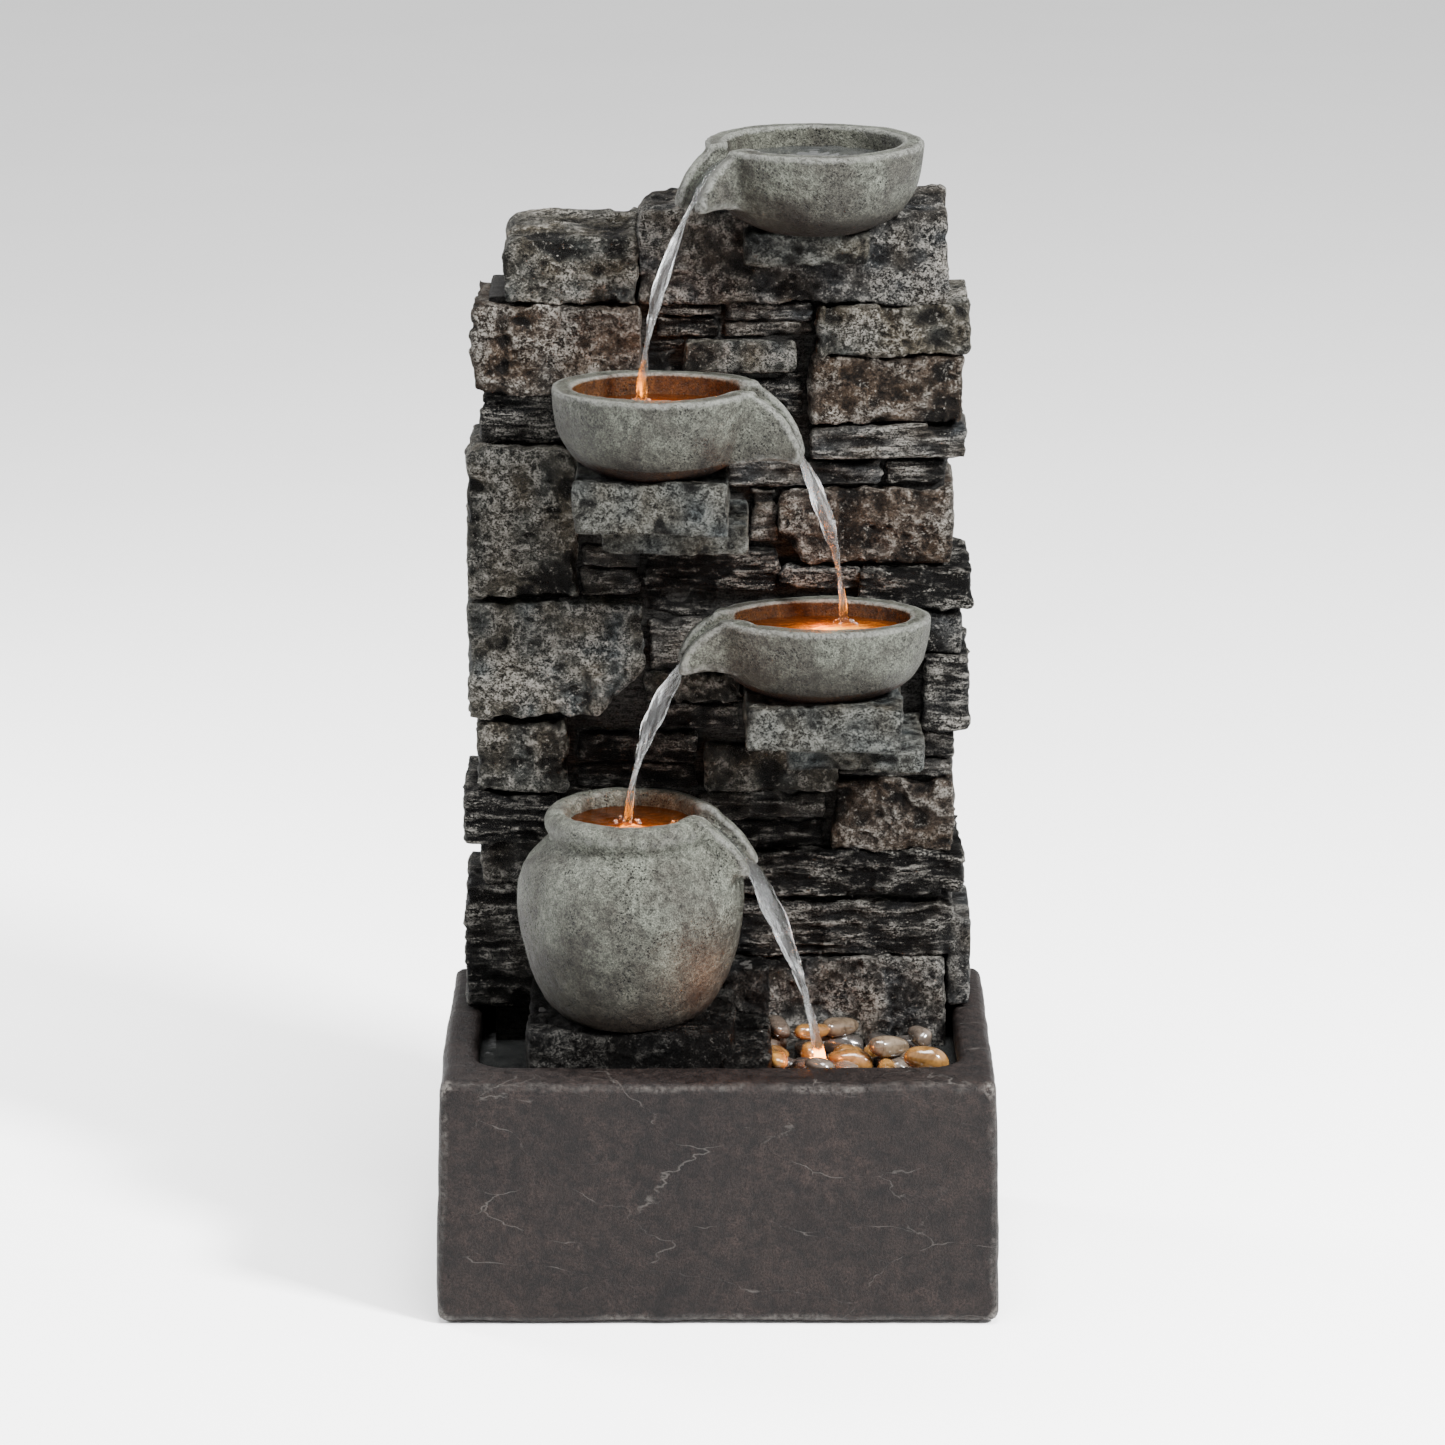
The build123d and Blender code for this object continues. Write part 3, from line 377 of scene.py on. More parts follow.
def concrete_material():
    """Cast concrete look: cool grey, mottled, with clusters of small dark pits and pale worn edges."""
    n = Nodes("bowl_concrete")
    # The tint holds painted shade, darker towards the foot, and painted amber glow inside the lit bowls.
    tint = n.attribute("tint", "Color")
    edge = n.attribute("relief")
    cloud = n.noise(30, 5, 0.62, distortion=0.5)
    mottle = n.noise(5.0, 8, 0.72)
    grain = n.noise(1.3, 5, 0.8)
    body = n.shade(tint, cloud, 0.38, 0.62, (0.62, 0.59, 0.56), (1.26, 1.30, 1.22))
    body = n.shade(body, mottle, 0.38, 0.62, (0.50, 0.49, 0.48), (1.45, 1.45, 1.42))
    body = n.shade(body, grain, 0.38, 0.62, (0.30, 0.30, 0.30), (1.90, 1.90, 1.90))
    clusters = n.ramp(n.noise(24, 3, 0.6), 0.46, 0.62)
    pits = n.math("MULTIPLY", n.ramp(n.cells(2.6), 0.34, 0.12), n.math("ADD", clusters, 0.25))
    body = n.mix(n.math("MULTIPLY", pits, 0.92), body, (0.006, 0.006, 0.0055))
    worn = n.math("MULTIPLY", n.ramp(edge, 0.30, 0.85), n.ramp(n.noise(3.0, 6, 0.75), 0.40, 0.58, 0.15, 1.0))
    body = n.mix(n.math("MULTIPLY", worn, 0.62), body, (0.15, 0.152, 0.140))
    normal = n.bump(mottle, 0.9, 3.2)
    normal = n.bump(grain, 0.9, 1.2, normal)
    normal = n.bump(pits, 1.0, -1.2, normal)
    return n.finish(body, n.ramp(mottle, 0.36, 0.64, 0.40, 0.62), normal, Specular_IOR_Level=0.10)


def basin_material():
    """Dark brown-grey casting with fine pale veins, scuffs and a worn front edge."""
    n = Nodes("basin_casting")
    tint = n.attribute("tint", "Color")
    edge = n.attribute("relief")
    cloud = n.noise(60, 5, 0.6, distortion=0.6)
    mottle = n.noise(9, 7, 0.7)
    grain = n.noise(1.6, 4, 0.75)
    body = n.shade(tint, cloud, 0.36, 0.64, (0.72, 0.72, 0.74), (1.28, 1.24, 1.20))
    body = n.shade(body, mottle, 0.38, 0.62, (0.45, 0.45, 0.46), (1.62, 1.60, 1.58))
    slanted = n.stretch(0.55, 0.8, 1.25)
    line = n.ramp(n.cells(58, "DISTANCE_TO_EDGE", n.warp(slanted, 26, 0.030)), 0.010, 0.0)
    patchy = n.ramp(n.noise(34, 4, 0.6), 0.50, 0.60)
    veins = n.math("MULTIPLY", line, patchy)
    scuffs = n.ramp(n.noise(5.5, 9, 0.82, n.stretch(0.5, 0.5, 1.4), distortion=1.6), 0.62, 0.70)
    scuffs = n.math("MULTIPLY", scuffs, n.ramp(n.noise(45, 3, 0.5), 0.45, 0.62, 0.15, 0.9))
    worn = n.math("MULTIPLY", n.ramp(edge, 0.4, 1.0), n.ramp(n.noise(4.0, 6, 0.75), 0.42, 0.60))
    scuffs = n.math("MAXIMUM", n.math("MULTIPLY", scuffs, 0.5), worn)
    pale = n.math("MAXIMUM", n.math("MULTIPLY", veins, 0.42), scuffs)
    body = n.shade(body, grain, 0.38, 0.62, (0.35, 0.35, 0.35), (1.75, 1.75, 1.75))
    body = n.mix(n.math("MULTIPLY", pale, 0.8), body, (0.095, 0.088, 0.080))
    normal = n.bump(mottle, 0.7, 2.2)
    normal = n.bump(grain, 0.8, 1.0, normal)
    normal = n.bump(line, 0.4, 0.8, normal)
    return n.finish(body, n.ramp(mottle, 0.3, 0.7, 0.42, 0.68), normal, Specular_IOR_Level=0.12)


def pebble_material():
    """Wet river pebbles: clouded, speckled and glossy."""
    n = Nodes("wet_pebbles")
    tint = n.attribute("tint", "Color")
    cloud = n.noise(7, 5, 0.6, distortion=0.8)
    body = n.shade(tint, cloud, 0.34, 0.66, (0.55, 0.52, 0.5), (1.35, 1.35, 1.3))
    body = n.mix(n.ramp(n.noise(1.1, 4, 0.7), 0.56, 0.66, 0.0, 0.5), body, (0.05, 0.04, 0.03))
    normal = n.bump(n.noise(1.6, 4, 0.6), 0.12, 0.4)
    return n.finish(body, n.ramp(cloud, 0.3, 0.7, 0.10, 0.26), normal, Coat_Weight=0.55, Coat_Roughness=0.06)


def glowing_water_material():
    """Water lit from below by an amber light: hot over the light, dark at the far wall."""
    n = Nodes("water_amber")
    heat = n.attribute("relief")
    flicker = n.math("MULTIPLY", n.math("SUBTRACT", n.noise(5.0, 6, 0.7, n.stretch(0.7, 1.4, 1)), 0.5), 0.9)
    sparkle = n.ramp(n.noise(1.4, 3, 0.8), 0.60, 0.72, 0.0, 0.30)
    level = n.math("ADD", n.math("ADD", heat, flicker), sparkle)
    glow = n.palette(
        level,
        (0.0, (0.010, 0.0025, 0.0004)),
        (0.30, (0.035, 0.008, 0.0006)),
        (0.54, (0.15, 0.034, 0.0012)),
        (0.78, (0.50, 0.145, 0.006)),
        (1.0, (1.0, 0.48, 0.06)),
    )
    normal = n.bump(n.noise(4.5, 3, 0.6), 0.35, 1.2)
    base = n.mix(0.8, glow, (0.012, 0.004, 0.001))
    gloss = {"Specular_IOR_Level": 0.06, "Emission_Color": glow, "Emission_Strength": 2.1}
    return n.finish(base, 0.05, normal, **gloss)


def clear_water_material():
    """Clear falling water with streaks along its fall."""
    n = Nodes("water_clear")
    streaks = n.noise(3.0, 5, 0.7, n.stretch(1.6, 1.6, 0.20), distortion=0.5)
    tone = n.palette(n.ramp(streaks, 0.42, 0.62), (0.0, (0.90, 0.94, 0.95)), (1.0, (1.0, 1.0, 1.0)))
    normal = n.bump(streaks, 0.7, 1.4)
    return n.finish(tone, 0.0, normal, Transmission_Weight=1.0, IOR=1.33)


def still_water_material():
    """Dark unlit water with a faint ripple."""
    n = Nodes("water_still")
    ripple = n.noise(14, 4, 0.55)
    normal = n.bump(ripple, 0.3, 1.5)
    tone = n.palette(ripple, (0.3, (0.012, 0.013, 0.013)), (0.7, (0.028, 0.029, 0.028)))
    return n.finish(tone, 0.06, normal, Specular_IOR_Level=0.25)


def foam_material():
    """Bubbles where a stream lands."""
    n = Nodes("foam_bubbles")
    tone = n.palette(n.noise(2.0, 3, 0.6), (0.35, (0.75, 0.72, 0.68)), (0.65, (1.0, 0.98, 0.95)))
    return n.finish(tone, 0.05, None, Transmission_Weight=0.92, IOR=1.25)


def plastic_material(name, base, roughness, texture=1.2):
    """Moulded plastic: spark-eroded texture, faint flow marks and handling sheen."""
    n = Nodes(name)
    grain = n.noise(texture, 3, 0.7)
    flow = n.noise(45, 4, 0.5, n.stretch(1, 1, 0.35))
    dark = tuple(0.72 * c for c in base)
    light = tuple(min(1.0, 1.35 * c + 0.004) for c in base)
    both = n.math("ADD", n.math("MULTIPLY", grain, 0.4), n.math("MULTIPLY", flow, 0.6))
    body = n.palette(both, (0.35, dark), (0.65, light))
    gloss = n.ramp(flow, 0.3, 0.7, roughness - 0.08, roughness + 0.10)
    return n.finish(body, gloss, n.bump(grain, 0.3, 0.25), Specular_IOR_Level=0.2)


def rubber_material(name="rubber"):
    n = Nodes(name)
    grain = n.noise(0.9, 3, 0.7)
    dust = n.noise(12, 4, 0.6)
    body = n.palette(dust, (0.4, (0.014, 0.014, 0.014)), (0.7, (0.045, 0.043, 0.040)))
    return n.finish(body, n.ramp(dust, 0.3, 0.7, 0.7, 0.9), n.bump(grain, 0.25, 0.2))


def steel_material():
    n = Nodes("screw_steel")
    brushed = n.noise(0.8, 3, 0.6, n.stretch(1, 0.15, 1))
    body = n.palette(brushed, (0.35, (0.42, 0.42, 0.43)), (0.65, (0.66, 0.66, 0.67)))
    return n.finish(body, n.ramp(brushed, 0.3, 0.7, 0.22, 0.42), n.bump(brushed, 0.2, 0.1), Metallic=1.0)


def vinyl_material():
    n = Nodes("clear_vinyl")
    haze = n.noise(9, 4, 0.6)
    body = n.palette(haze, (0.35, (0.62, 0.68, 0.68)), (0.65, (0.84, 0.88, 0.88)))
    gloss = n.ramp(haze, 0.3, 0.7, 0.10, 0.26)
    return n.finish(body, gloss, n.bump(haze, 0.1, 0.3), Transmission_Weight=0.7, IOR=1.45)


def ceramic_material():
    n = Nodes("ceramic_shaft")
    lines = n.noise(0.7, 3, 0.6, n.stretch(0.2, 1, 1))
    body = n.palette(lines, (0.3, (0.74, 0.73, 0.70)), (0.7, (0.88, 0.87, 0.84)))
    return n.finish(body, 0.22, n.bump(lines, 0.1, 0.05), Specular_IOR_Level=0.6)


def lens_material():
    n = Nodes("led_lens")
    rings = n.noise(2.4, 3, 0.5)
    glow = n.palette(rings, (0.3, (1.0, 0.34, 0.03)), (0.7, (1.0, 0.56, 0.10)))
    return n.finish(glow, 0.15, n.bump(rings, 0.2, 0.3), Emission_Color=glow, Emission_Strength=2.5)


# --- stones ---
# Colours of the casting under its dry-brushing.
TINTS = {
    "GREY": (0.025, 0.0238, 0.0218),
    "PALE": (0.036, 0.036, 0.032),
    "OLIVE": (0.030, 0.0283, 0.0233),
    "BROWN": (0.028, 0.0205, 0.0150),
    "BLACK": (0.0014, 0.0013, 0.0012),
    "SLATE": (0.0060, 0.0057, 0.0053),
}
MORTAR = (0.014, 0.0135, 0.0125)


def loose_boxes(node):
    """Low and high corners (mm) of each separate solid in a CAD node, highest first, then from the left."""
    mesh = frame["nodes"][node].data
    co = np.empty(len(mesh.vertices) * 3)
    mesh.vertices.foreach_get("co", co)
    co = co.reshape(-1, 3) / MM
    keys, index = np.unique(co.round(3), axis=0, return_inverse=True)
    index = index.ravel()
    edges = np.empty(len(mesh.edges) * 2, int)
    mesh.edges.foreach_get("vertices", edges)
    edges = index[edges.reshape(-1, 2)]
    label = np.arange(len(keys))
    while True:
        low = np.minimum(label[edges[:, 0]], label[edges[:, 1]])
        before = label.copy()
        np.minimum.at(label, edges[:, 0], low)
        np.minimum.at(label, edges[:, 1], low)
        label = label[label]
        if (before == label).all():
            break
    boxes = [(keys[label == k].min(0), keys[label == k].max(0)) for k in np.unique(label)]
    return sorted(boxes, key=lambda b: (-round(b[1][2]), round(b[0][0])))


def core_distance(p):
    """The part of the hollow wall that stones stay out of."""
    low, high = (np.array(c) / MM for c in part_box("wall_core"))
    low[2], high[1] = 0, high[1] + 50
    return box_distance(p, low + (1.5, 3.0, 0), high - (1.5, 0, 1.5))


def split_detail(seed, size, relief):
    """Fractured face: tilted facets that meet in sharp steps, with chips and grit over them."""

    def detail(p):
        q = p + np.stack([noise(p, 10, seed + 7), noise(p, 10, seed + 8), noise(p, 10, seed + 9)], 1) * 3.4
        lumps = noise(q, size * 1.3, seed) * 2.2
        facets = ridges(q, (size * 0.5, size * 0.7, size * 0.42), seed + 3) * 3.4
        flakes = ridges(q, (9.5, 10, 6.5), seed + 4) * 2.4
        grit = fractal(p, 4.4, 2, seed + 5) * 1.7
        return (3.2 - lumps - facets - flakes - grit) * relief * 0.56

    return detail


def slate_detail(seed, size, relief):
    """Layered face: thin ledges that run along the stone and wander a little."""

    def detail(p):
        wander = noise(p, 34, seed) * 4.0 + noise(p, 11, seed + 1) * 1.6
        q = p + np.stack([0 * wander, 0 * wander, wander], 1)
        ledges = ridges(q, (60, 50, 8.0), seed + 2) * 2.6 + ridges(q, (26, 30, 4.4), seed + 4) * 2.4
        breaks = ridges(q, (14, 16, 9), seed + 6) * 1.9
        grit = fractal(p, 4.4, 2, seed + 7) * 1.5
        return (3.3 - ledges - breaks - grit) * relief * 0.6

    return detail


def smooth_detail(seed, size, relief):
    """Weathered face: low swellings and shallow pocks."""

    def detail(p):
        swell = noise(p, size * 1.4, seed) * 1.6
        pocks = fractal(p, 8, 3, seed + 3) * 1.5
        return (0.4 - swell - ridges(p, 15, seed + 1) - pocks) * relief * 0.7

    return detail


DETAILS = {"split": split_detail, "slate": slate_detail, "smooth": smooth_detail}


def rock(low, high, kind, tint, seed, step=1.9, corner=3.0, cut=None, relief=1.0, trim=()):
    """One stone in its box, its faces broken up and its corners worn: vertices, faces, tint and relief."""
    low, high = np.asarray(low, float) - 0.8, np.asarray(high, float) + 0.8
    size = max(12.0, min(40.0, float((high - low).min())))
    corner = min(corner, 0.3 * float((high - low).min()))
    roughness = relief * min(1.0, float((high - low)[2]) / 26 + 0.25)
    detail = DETAILS[kind](seed, size, roughness)

    def shape(p):
        wander = np.stack([noise(p, 26, seed + 20), noise(p, 26, seed + 21), noise(p, 26, seed + 22)], 1)
        d = box_distance(p + wander * min(2.2, 0.07 * size), low, high, corner)
        for end, level, size_off in trim:
            across = (high[0] - p[:, 0]) if end == "right" else (p[:, 0] - low[0])
            up = (high[2] - p[:, 2]) if level == "top" else (p[:, 2] - low[2])
            d = smooth_max(d, (size_off - across - up) / math.sqrt(2), 5.0)
        return d if cut is None else np.maximum(d, -cut(p))

    vertices, faces = solid_net(shape, detail, low, high, step)
    height = -detail(vertices) / max(roughness, 0.2)
    height = (height - np.percentile(height, 4)) / max(np.ptp(np.percentile(height, (4, 97))), 1e-6)
    mottle = 1 + 0.30 * fractal(vertices, 12, 3, seed + 9)[:, None]
    warm = 1 + noise(vertices, 16, seed + 12)[:, None] * np.array([0.14, 0.0, -0.16])
    layered = np.full((len(vertices), 1), 1.0 if kind == "slate" else 0.0)
    return vertices, faces, np.hstack([np.asarray(tint) * mottle * warm, layered]), np.clip(height, 0, 1)


# Kind and colour of each stone, and any corner broken off it (end:level:millimetres), in loose_boxes' order.
STONE_LOOKS = {
    "stones_cap": ["split OLIVE left:top:9", "split GREY left:top:5"],
    "stones_upper_left": ["split BROWN", "slate BLACK", "slate SLATE", "slate SLATE"],
    "stones_upper_middle": ["slate SLATE", "slate GREY", "slate BLACK", "slate GREY"]
    + ["smooth PALE", "slate SLATE", "slate GREY"],
    "stones_upper_right": ["split OLIVE", "split BROWN", "slate GREY", "slate SLATE"],
    "stones_middle_left": ["split OLIVE right:top:12 left:top:8", "slate GREY", "slate GREY"]
    + ["split PALE right:bottom:33"],
    "stones_middle": ["slate GREY", "slate SLATE", "slate BLACK", "slate SLATE", "slate SLATE"]
    + ["slate BLACK", "slate GREY", "split OLIVE", "split OLIVE", "slate SLATE"],
    "stones_middle_right": ["split BROWN left:bottom:20", "slate BLACK", "smooth GREY"]
    + ["slate SLATE", "slate SLATE", "slate GREY"],
    "stones_lower_left": ["split OLIVE", "slate BLACK", "slate SLATE", "slate BLACK"]
    + ["slate SLATE", "smooth GREY", "slate BLACK", "slate SLATE"],
    "stones_lower_right": ["smooth OLIVE", "split BROWN", "slate GREY", "slate SLATE"]
    + ["slate BLACK", "slate SLATE", "smooth GREY", "split GREY"],
}


def cap_cut(p):
    """Wall and top bowl, which the cap stones stay out of."""
    x, y, rim, a, b, height, *_ = BOWLS["bowl_top"]
    t = np.clip((p[:, 2] - rim + height) / height, 0, 1)
    bowl = (oval(p, x, y, a, b) - smooth_curve(t, OUTER_T, OUTER_K)) * a - 1.0
    bowl = np.maximum(bowl, rim - height - 2 - p[:, 2])
    return np.minimum(bowl, core_distance(p))


def build_stones(material):
    seed = 100
    for node, looks in STONE_LOOKS.items():
        boxes = loose_boxes(node)
        if node == "stones_cap":
            # The three stones round the bowl are one long rough block to the eye, joined behind the slab.
            boxes = [boxes[2], (np.min([b[0] for b in (boxes[0], boxes[1], boxes[3])], 0), boxes[0][1])]
            boxes[1] = (boxes[1][0], np.array((161.5, boxes[1][1][1], boxes[1][1][2])))
        stones = []
        for (low, high), look in zip(boxes, looks):
            seed += 31
            kind, tint, *trim = look.split()
            cut = cap_cut if node == "stones_cap" else core_distance
            trim = [(end, level, float(amount)) for end, level, amount in (t.split(":") for t in trim)]
            stones.append(rock(low, high, kind, TINTS[tint], seed, cut=cut, trim=trim))
        piece = mesh_object(node + "_rock", *join(stones))
        place(piece, material, "stone", node)


def build_slabs(material):
    for order, node in enumerate(("slab_top_bowl", "slabs_left_bowl", "slabs_right_bowl")):
        slabs = []
        for number, (low, high) in enumerate(loose_boxes(node)):
            high[1] = min(high[1], 100 if low[2] > 700 else 50)
            seed = 40 + 9 * order + 3 * number
            slabs.append(rock(low, high, "split", TINTS["PALE"], seed, corner=2.5, relief=0.45))
        piece = mesh_object(node + "_rock", *join(slabs))
        place(piece, material, "slab_stone", node)


# --- mortar: the wall's front and sides between the stones ---
def build_mortar(material):
    low, high = (np.array(c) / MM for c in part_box("wall_core"))
    low[2] = 120

    def shape(p):
        outer = box_distance(p, low - (5.0, 2.4, 0), (high[0] + 5.0, high[1] - 1.0, high[2] + 2.0), 2.0)
        inner = box_distance(p, low + (2.5, 2.5, -40), (high[0] - 2.5, high[1] + 40, high[2] - 2.5))
        return np.maximum(outer, -inner)

    def detail(p):
        return -fractal(p, 16, 3, 71) * 1.5

    vertices, faces = solid_net(shape, detail, low - 4, high + 4, 3.0, band=4.0)
    height = np.clip(0.55 + 0.5 * fractal(vertices, 16, 3, 71), 0, 1)
    piece = mesh_object("mortar_skin", vertices, faces, MORTAR, height)
    place(piece, material, "mortar")


def build_plinths(rock_skin):
    low, high = (np.array(c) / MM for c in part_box("pot_plinth"))
    black, slate = TINTS["BLACK"], TINTS["SLATE"]
    block = rock((low[0] - 4, low[1] - 4, 120), high + (4, 0, 2), "split", black, 611, step=2.2, relief=0.8)
    place(mesh_object("pot_plinth_rock", *block), rock_skin, "mortar")
    low, high = (np.array(c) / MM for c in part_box("pool_divider"))
    blocks = [
        rock((low[0] - 4, 3, 120), (high[0] + 4, high[1], high[2] + 2), "split", slate, 641, step=2.2),
        rock((low[0] - 4, low[1] - 4, 120), (high[0] + 4, 12, 188), "split", black, 651, step=2.2),
    ]
    place(mesh_object("pool_divider_rock", *join(blocks)), rock_skin, "mortar")


# --- bowls and pot ---
BOWL_WALL, BOWL_FLOOR = 14.0, 12.0
OUTER_T, OUTER_K = (0, 0.14, 0.40, 0.70, 1.0), (0.50, 0.72, 0.90, 0.975, 1.0)
INNER_T, INNER_K = (0, 0.25, 0.60, 1.06), (0.50, 0.78, 0.94, 1.0)
SPOUT_WIDTH, CHANNEL_WIDTH, CHANNEL_DEPTH = 46.0, 26.0, 9.0
# Centre x and y, rim height, semi-axes, height, spout heading, reach and drop, as in the frame.
BOWLS = {
    "bowl_top": (68, 30, 822, 77, 77, 62, 208, 102, 44),
    "bowl_left": (-43, -36, 660, 73, 60, 63, -4, 104, 53),
    "bowl_right": (74, -26, 493, 77, 56, 59, 184, 103, 40),
}
POT = (-62.0, -42.0, 202.0, 355.0)
POT_SPOUT = (-11, 90, 41)
POT_SPOUT_START = 47.0


def along_spout(p, x, y, rim, heading):
    """Distances along the spout, across it, and above the rim."""
    c, s = math.cos(math.radians(heading)), math.sin(math.radians(heading))
    dx, dy = p[:, 0] - x, p[:, 1] - y
    return dx * c + dy * s, dy * c - dx * s, p[:, 2] - rim


# 2 makes a spout's side view a quarter ellipse, 1 a straight ramp.
BOWL_SLOPE, POT_SLOPE = 1.8, 1.45


def quarter(s, w, rx, rz, drop, slope):
    """Distance from the curve of a spout's side view, from level with the rim down to the lip."""
    e = ((np.maximum(s, 0) / rx) ** slope + (np.maximum(w + drop, 0) / rz) ** slope) ** (1 / slope)
    return np.where(s > 0, (e - 1) * min(rx, rz), w + drop - rz)


def spout_distances(p, x, y, rim, heading, start, reach, drop, slope, thickness=None):
    """The spout's body and its channel."""
    u, v, w = along_spout(p, x, y, rim, heading)
    s, rx = u - start, reach - start
    taper = 1 - 0.16 * np.clip(s / rx, 0, 1)
    top = quarter(s, w, rx, drop, drop, slope)
    belly = 4 * np.sin(np.pi * np.clip(s / rx, 0, 1))
    under = -(w + drop - belly)
    if thickness is not None:
        under = -quarter(s, w, rx - thickness, drop - thickness, drop, slope)
    body = smooth_max(top, np.abs(v) - SPOUT_WIDTH / 2 * taper, 3.0)
    body = smooth_max(body, under, 6.0)
    body = smooth_max(np.maximum(body, -s - 16), -w - drop, 4.0)
    inner = quarter(s, w, rx - CHANNEL_DEPTH, drop - CHANNEL_DEPTH, drop, slope)
    channel = smooth_max(np.abs(v) - CHANNEL_WIDTH / 2 * taper, -inner, 4.0)
    return body, np.maximum(channel, -s - 26)


def oval(p, x, y, a, b):
    """0 on the axis of an oval at x, y with semi-axes a and b, and 1 on its edge."""
    return np.sqrt(((p[:, 0] - x) / a) ** 2 + ((p[:, 1] - y) / b) ** 2)


def spout_start(a, b, heading):
    """How far from its middle a bowl's inner wall is, towards the spout."""
    h = math.radians(heading)
    return 1 / math.hypot(math.cos(h) / (a - BOWL_WALL), math.sin(h) / (b - BOWL_WALL))


def bowl_shape(x, y, rim, a, b, height, heading, reach, drop):
    foot = rim - height
    ia, ib = a - BOWL_WALL, b - BOWL_WALL
    start = spout_start(a, b, heading)

    def shape(p):
        t = (p[:, 2] - foot) / height
        outer = (oval(p, x, y, a, b) - smooth_curve(np.clip(t, 0, 1), OUTER_T, OUTER_K)) * min(a, b)
        outer = smooth_max(outer, np.maximum(p[:, 2] - rim, foot - p[:, 2]), 2.0)
        body, channel = spout_distances(p, x, y, rim, heading, start, reach, drop, BOWL_SLOPE)
        t = (p[:, 2] - foot - BOWL_FLOOR) / (height - BOWL_FLOOR)
        inner = (oval(p, x, y, ia, ib) - smooth_curve(np.clip(t, 0, 1.06), INNER_T, INNER_K)) * min(ia, ib)
        inner = smooth_max(inner, foot + BOWL_FLOOR - p[:, 2], 6.0)
        solid = smooth_min(outer, body, 5.0)
        return smooth_max(solid, -smooth_min(inner, channel, 4.0), 1.6)

    return shape


def concrete_paint_and_shade(vertices, rim, foot, edge, warm_low=1.0):
    """Tint and edge wear of a casting, with painted shade: cool grey above, darker and browner towards its
    foot, where the light from above leaves it in shade.
    """
    t = np.clip((vertices[:, 2] - foot) / (rim - foot), 0, 1)[:, None]
    # Painted shade: the foot's colour is about a fifth as bright as the rim's, and browner.
    low = np.array([0.0085, 0.0066, 0.0054]) * warm_low
    high = np.array([0.040, 0.0412, 0.0368]) * warm_low
    blend = np.clip((t - 0.05) / 0.62 + 0.30 * fractal(vertices, 22, 3, 5)[:, None], 0, 1)
    return low + (high - low) * blend, np.clip(edge, 0, 1)


def curvature(vertices, faces):
    """How much each point stands out from its neighbours, along its normal, smoothed a little."""
    total = len(vertices)
    a, b = faces[:, [0, 1, 2, 3]].ravel(), faces[:, [1, 2, 3, 0]].ravel()
    count = np.maximum(np.bincount(a, minlength=total) + np.bincount(b, minlength=total), 1)

    def average(values):
        return (np.bincount(a, values[b], total) + np.bincount(b, values[a], total)) / count

    mean = np.stack([average(vertices[:, k]) for k in range(3)], 1)
    cross = np.cross(
        vertices[faces[:, 2]] - vertices[faces[:, 0]],
        vertices[faces[:, 3]] - vertices[faces[:, 1]],
    )
    corners = faces.ravel()
    normal = np.stack([np.bincount(corners, np.repeat(cross[:, k], 4), total) for k in range(3)], 1)
    normal /= np.maximum(np.linalg.norm(normal, axis=1, keepdims=True), 1e-9)
    out = ((vertices - mean) * normal).sum(1)
    for _ in range(3):
        out = 0.5 * out + 0.5 * average(out)
    return out


def cast_detail(seed, depth=0.45):
    """The faint unevenness of a casting."""

    def detail(p):
        return noise(p, 34, seed) * depth * 1.6 + fractal(p, 7, 3, seed + 2) * depth

    return detail


def build_bowl(node, material, seed):
    x, y, rim, a, b, height, *_ = BOWLS[node]
    low, high = (np.array(c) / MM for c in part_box(node))
    vertices, faces = solid_net(bowl_shape(*BOWLS[node]), cast_detail(seed), low - 2, high + 3, 1.7, band=5.0)
    worn = curvature(vertices, faces) * 9.0
    tint, relief = concrete_paint_and_shade(vertices, rim, rim - height, worn)
    # Inside the bowl below the rim the tint is painted light: painted shade in the top bowl, and painted
    # amber glow from the light under the water in the lit bowls. The edge wear fades there.
    inside_shade_and_glow = (oval(vertices, x, y, a - BOWL_WALL, b - BOWL_WALL) < 1.01) & (vertices[:, 2] < rim - 2)
    tint[inside_shade_and_glow] *= (0.72, 0.70, 0.68) if node == "bowl_top" else (0.55, 0.21, 0.05)
    relief[inside_shade_and_glow] *= 0.2
    place(mesh_object(node + "_cast", vertices, faces, tint, relief), material, "bowl_concrete", node)


POT_OUTER_Z = (0, 9, 26, 50, 72, 90, 106, 118, 127, 134)
POT_OUTER_R = (47, 57, 67.5, 75.5, 80, 81, 78.5, 72.5, 64.5, 57.5)
POT_INNER_Z = (10, 20, 44, 88, 116, 128, 138)
POT_INNER_R = (42, 52, 65, 72, 66, 55, 45.5)


